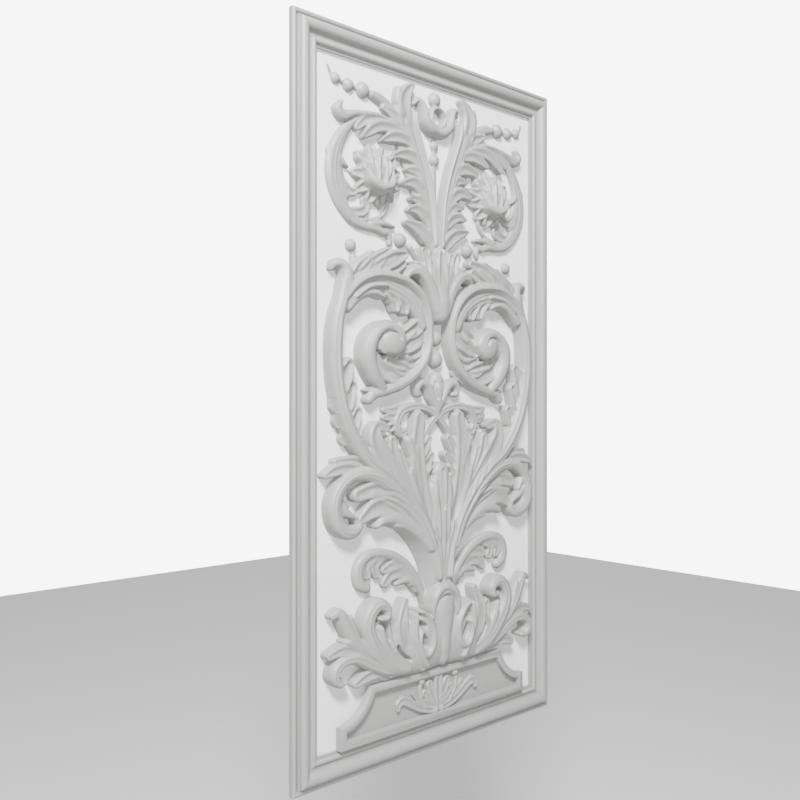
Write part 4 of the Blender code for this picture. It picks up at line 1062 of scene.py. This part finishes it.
@dataclass
class Plinth:
    """Block with hollow shoulders, a sunk panel and a palmette carved on it.

    Args:
        half: Half-width at the foot.
        bottom: Lowest z.
        top: Highest z.
        ear: Height at which the hollow shoulder starts.
        shoulder: Centre of the hollow shoulder.
        radius: Radius of the hollow shoulder.
        thick: Height of the face above the board.
        sunk: Depth of the sunk panel.
        margin: Width of the raised border.
        seat: Height of its back above the board, level with the moulding's inner edge.
        chamfer: Width of the chamfer on its edges.
        around: Points around each ring of the block.
    """

    half: float = 222.0
    bottom: float = -549.6
    top: float = -460.0
    ear: float = -513.0
    shoulder: tuple = (228.0, -443.0)
    radius: float = 71.0
    thick: float = 19.0
    sunk: float = 10.0
    margin: float = 12.0
    seat: float = 5.6
    chamfer: float = 0.8
    around: int = 160

    def outline(self, inset: float, steps: int = 32) -> list:
        """Closed outline, set in by a distance.

        Args:
            inset: The distance.
            steps: Points along each hollow shoulder.

        Returns:
            The outline's (x, z) points.
        """
        radius = self.radius + inset
        ear = self.ear - inset * 0.75
        first = math.asin((ear - self.shoulder[1]) / radius)
        last = math.asin((self.top - inset - self.shoulder[1]) / radius)
        left = [(-(self.half - inset), self.bottom + inset), (-(self.half - inset), ear)]
        for i in range(steps):
            turn = first + (last - first) * i / (steps - 1)
            left.append((-self.shoulder[0] + radius * math.cos(turn),
                        self.shoulder[1] + radius * math.sin(turn)))
        left = [p for j, p in enumerate(left) if j == 0 or math.dist(p, left[j - 1]) > 0.3]
        return left + [(-x, z) for x, z in reversed(left)]

    def ornament(self) -> list:
        """The palmette's lobes, its left half."""
        part = Palmette(base=self.thick - self.sunk, top=self.thick - 0.7)
        part.draw()
        return part.lobes

    def build(self, material: bpy.types.Material) -> bpy.types.Object:
        """Make the block with a small chamfer on its edges and the sunk panel."""
        n = self.around
        face = self.thick - self.chamfer
        rings = [(0.0, self.seat + GAP / MM), (0.0, face), (self.chamfer, self.thick),
                 (self.margin - self.chamfer, self.thick), (self.margin, face),
                 (self.margin, self.thick - self.sunk)]
        points = []
        for inset, high in rings:
            ring = resampled(self.outline(inset), n)
            points += [(x * MM, depth(high), z * MM) for x, z in ring]
        faces = [tuple(range(n)), tuple(range(len(points) - 1, len(points) - 1 - n, -1))]
        for r in range(0, (len(rings) - 1) * n, n):
            faces += [(r + i, r + (i + 1) % n, r + n + (i + 1) % n, r + n + i) for i in range(n)]
        return place("plinth_block", mesh_of(points, faces), material)


@dataclass(frozen=True)
class Lamp:
    """A square lamp that faces the panel.

    Args:
        name: Its name.
        at: Its place, in metres.
        size: Its width, in metres.
        power: Its power, in watts.
        shadow: Whether it casts shadows.
    """

    name: str
    at: tuple
    size: float
    power: float
    shadow: bool = True

    def build(self) -> None:
        """Hang the lamp."""
        data = bpy.data.lights.new(self.name, "AREA")
        data.size = self.size
        data.energy = self.power
        data.use_shadow = self.shadow
        obj = bpy.data.objects.new(self.name, data)
        obj.location = self.at
        obj.rotation_euler = (-Vector(self.at)).to_track_quat("-Z", "Y").to_euler()
        bpy.context.collection.objects.link(obj)


@dataclass
class Studio:
    """Floor, light and the photograph's camera.

    Args:
        camera_at: Camera position in metres.
        yaw: Turn of the camera from the panel's normal, in degrees.
        lens: Focal length on a 36 mm sensor.
        room: Light of the surroundings in front of the panel.
        backdrop: Light of the backdrop behind it.
        hung: Height of the panel's middle above the floor, in metres.
        floor: Width of the floor, in metres.
        lamps: The lamps, above and behind the camera.
    """

    camera_at: tuple = (-1.1086, -1.1174, 0.0034)
    yaw: float = -42.81
    lens: float = 40.30
    room: float = 0.15
    backdrop: float = 8.0
    hung: float = 1.5
    floor: float = 12.0
    lamps: tuple = (Lamp("key", (-1.7, -1.75, 2.05), 0.7, 430.0),
                    Lamp("fill", (-1.75, -1.8, 1.95), 1.6, 140.0, False))

    def build(self) -> None:
        """Set up the stage."""
        bpy.ops.mesh.primitive_plane_add(size=self.floor, location=(0.0, 0.0, -self.hung))
        floor = bpy.context.object
        floor.name = "floor"
        floor.data.materials.append(FLOOR.build())
        world = bpy.data.worlds.new("studio")
        bpy.context.scene.world = world
        world.use_nodes = True
        tree = world.node_tree
        sky = tree.nodes["Background"]
        sky.inputs["Color"].default_value = (1.0, 1.0, 1.0, 1.0)
        # A white backdrop glows behind the panel; the room in front of it is dim
        where = add_node(tree, "ShaderNodeTexCoord")
        toward = add_node(tree, "ShaderNodeVectorMath", operation="DOT_PRODUCT")
        toward.inputs[1].default_value = (0.68, 0.733, 0.0)
        glow = add_node(tree, "ShaderNodeMapRange", interpolation_type="SMOOTHSTEP")
        for key, value in (("From Min", 0.68), ("From Max", 0.85), ("To Min", self.room),
                           ("To Max", self.backdrop)):
            glow.inputs[key].default_value = value
        tree.links.new(where.outputs["Generated"], toward.inputs[0])
        tree.links.new(toward.outputs["Value"], glow.inputs["Value"])
        tree.links.new(glow.outputs["Result"], sky.inputs["Strength"])
        for lamp in self.lamps:
            lamp.build()
        data = bpy.data.cameras.new("camera")
        data.lens = self.lens
        data.sensor_width = 36.0
        obj = bpy.data.objects.new("camera", data)
        obj.location = self.camera_at
        obj.rotation_euler = (math.radians(90.0), 0.0, math.radians(self.yaw))
        bpy.context.collection.objects.link(obj)
        bpy.context.scene.camera = obj


def resampled(ring: list, count: int) -> list:
    """A mirrored outline with its corners kept and its shoulders read at the same shares.

    Args:
        ring: Foot corner, ear corner, shoulder points, then the same mirrored.
        count: Number of points wanted, a multiple of two.

    Returns:
        The (x, z) points.
    """
    half = ring[:len(ring) // 2]
    arc = np.array(half[2:])
    run = np.concatenate([[0.0], np.cumsum(np.hypot(*np.diff(arc, axis=0).T))])
    share = np.linspace(0.0, run[-1], count // 2 - 2)
    arc = [(float(np.interp(s, run, arc[:, 0])), float(np.interp(s, run, arc[:, 1]))) for s in share]
    left = half[:2] + arc
    return left + [(-x, z) for x, z in reversed(left)]


def put(obj: bpy.types.Object, slot: str, *nodes: str) -> None:
    """Tie a piece to the body and hide the nodes it stands for.

    Args:
        obj: The piece.
        slot: Its paint slot; not used.
        nodes: The nodes it stands for.
    """
    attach(obj, "root")
    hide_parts(*nodes)


def main() -> None:
    """Build the panel and its studio."""
    logging.basicConfig(level=logging.INFO)
    grey = GREY.build()
    white = WHITE.build()
    for name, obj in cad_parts.items():
        obj.data.materials.clear()
        obj.data.materials.append(white if name == "ground_board" else grey)
    lobes = []
    for kind in PARTS:
        part = kind()
        part.draw()
        lobes += part.lobes
    LOG.info("lobes %d", len(lobes))
    relief = Relief(lobes, half=262.0, low=-462.0, high=546.0, step=STEP, floor=-459.6)
    carving = closed("carving_fine", relief, grey, RATIO)
    shade(carving, 62.0)
    put(carving, "carving_paint", "carving")
    LOG.info("carving polygons %d", len(carving.data.polygons))
    plinth = Plinth()
    block = plinth.build(grey)
    sunk_face = plinth.thick - plinth.sunk - 0.5
    shell = Relief(plinth.ornament(), half=100.0, low=-548.0, high=-462.0, step=0.7, floor=-545.0,
                   base=sunk_face)
    leaf = closed("plinth_palmette", shell, grey, 1.0)
    choose(leaf)
    block.select_set(True)
    bpy.context.view_layer.objects.active = block
    bpy.ops.object.join()
    block.name = "plinth_fine"
    shade(block, 45.0)
    put(block, "carving_paint", "plinth")
    moulding = Moulding()
    for name, turned, sign in (("frame_top", False, 1), ("frame_bottom", False, -1),
                               ("frame_left", True, -1), ("frame_right", True, 1)):
        put(moulding.length(name + "_fine", turned, sign, grey), "frame_paint", name)
    Studio().build()


if __name__ == "__main__":
    main()
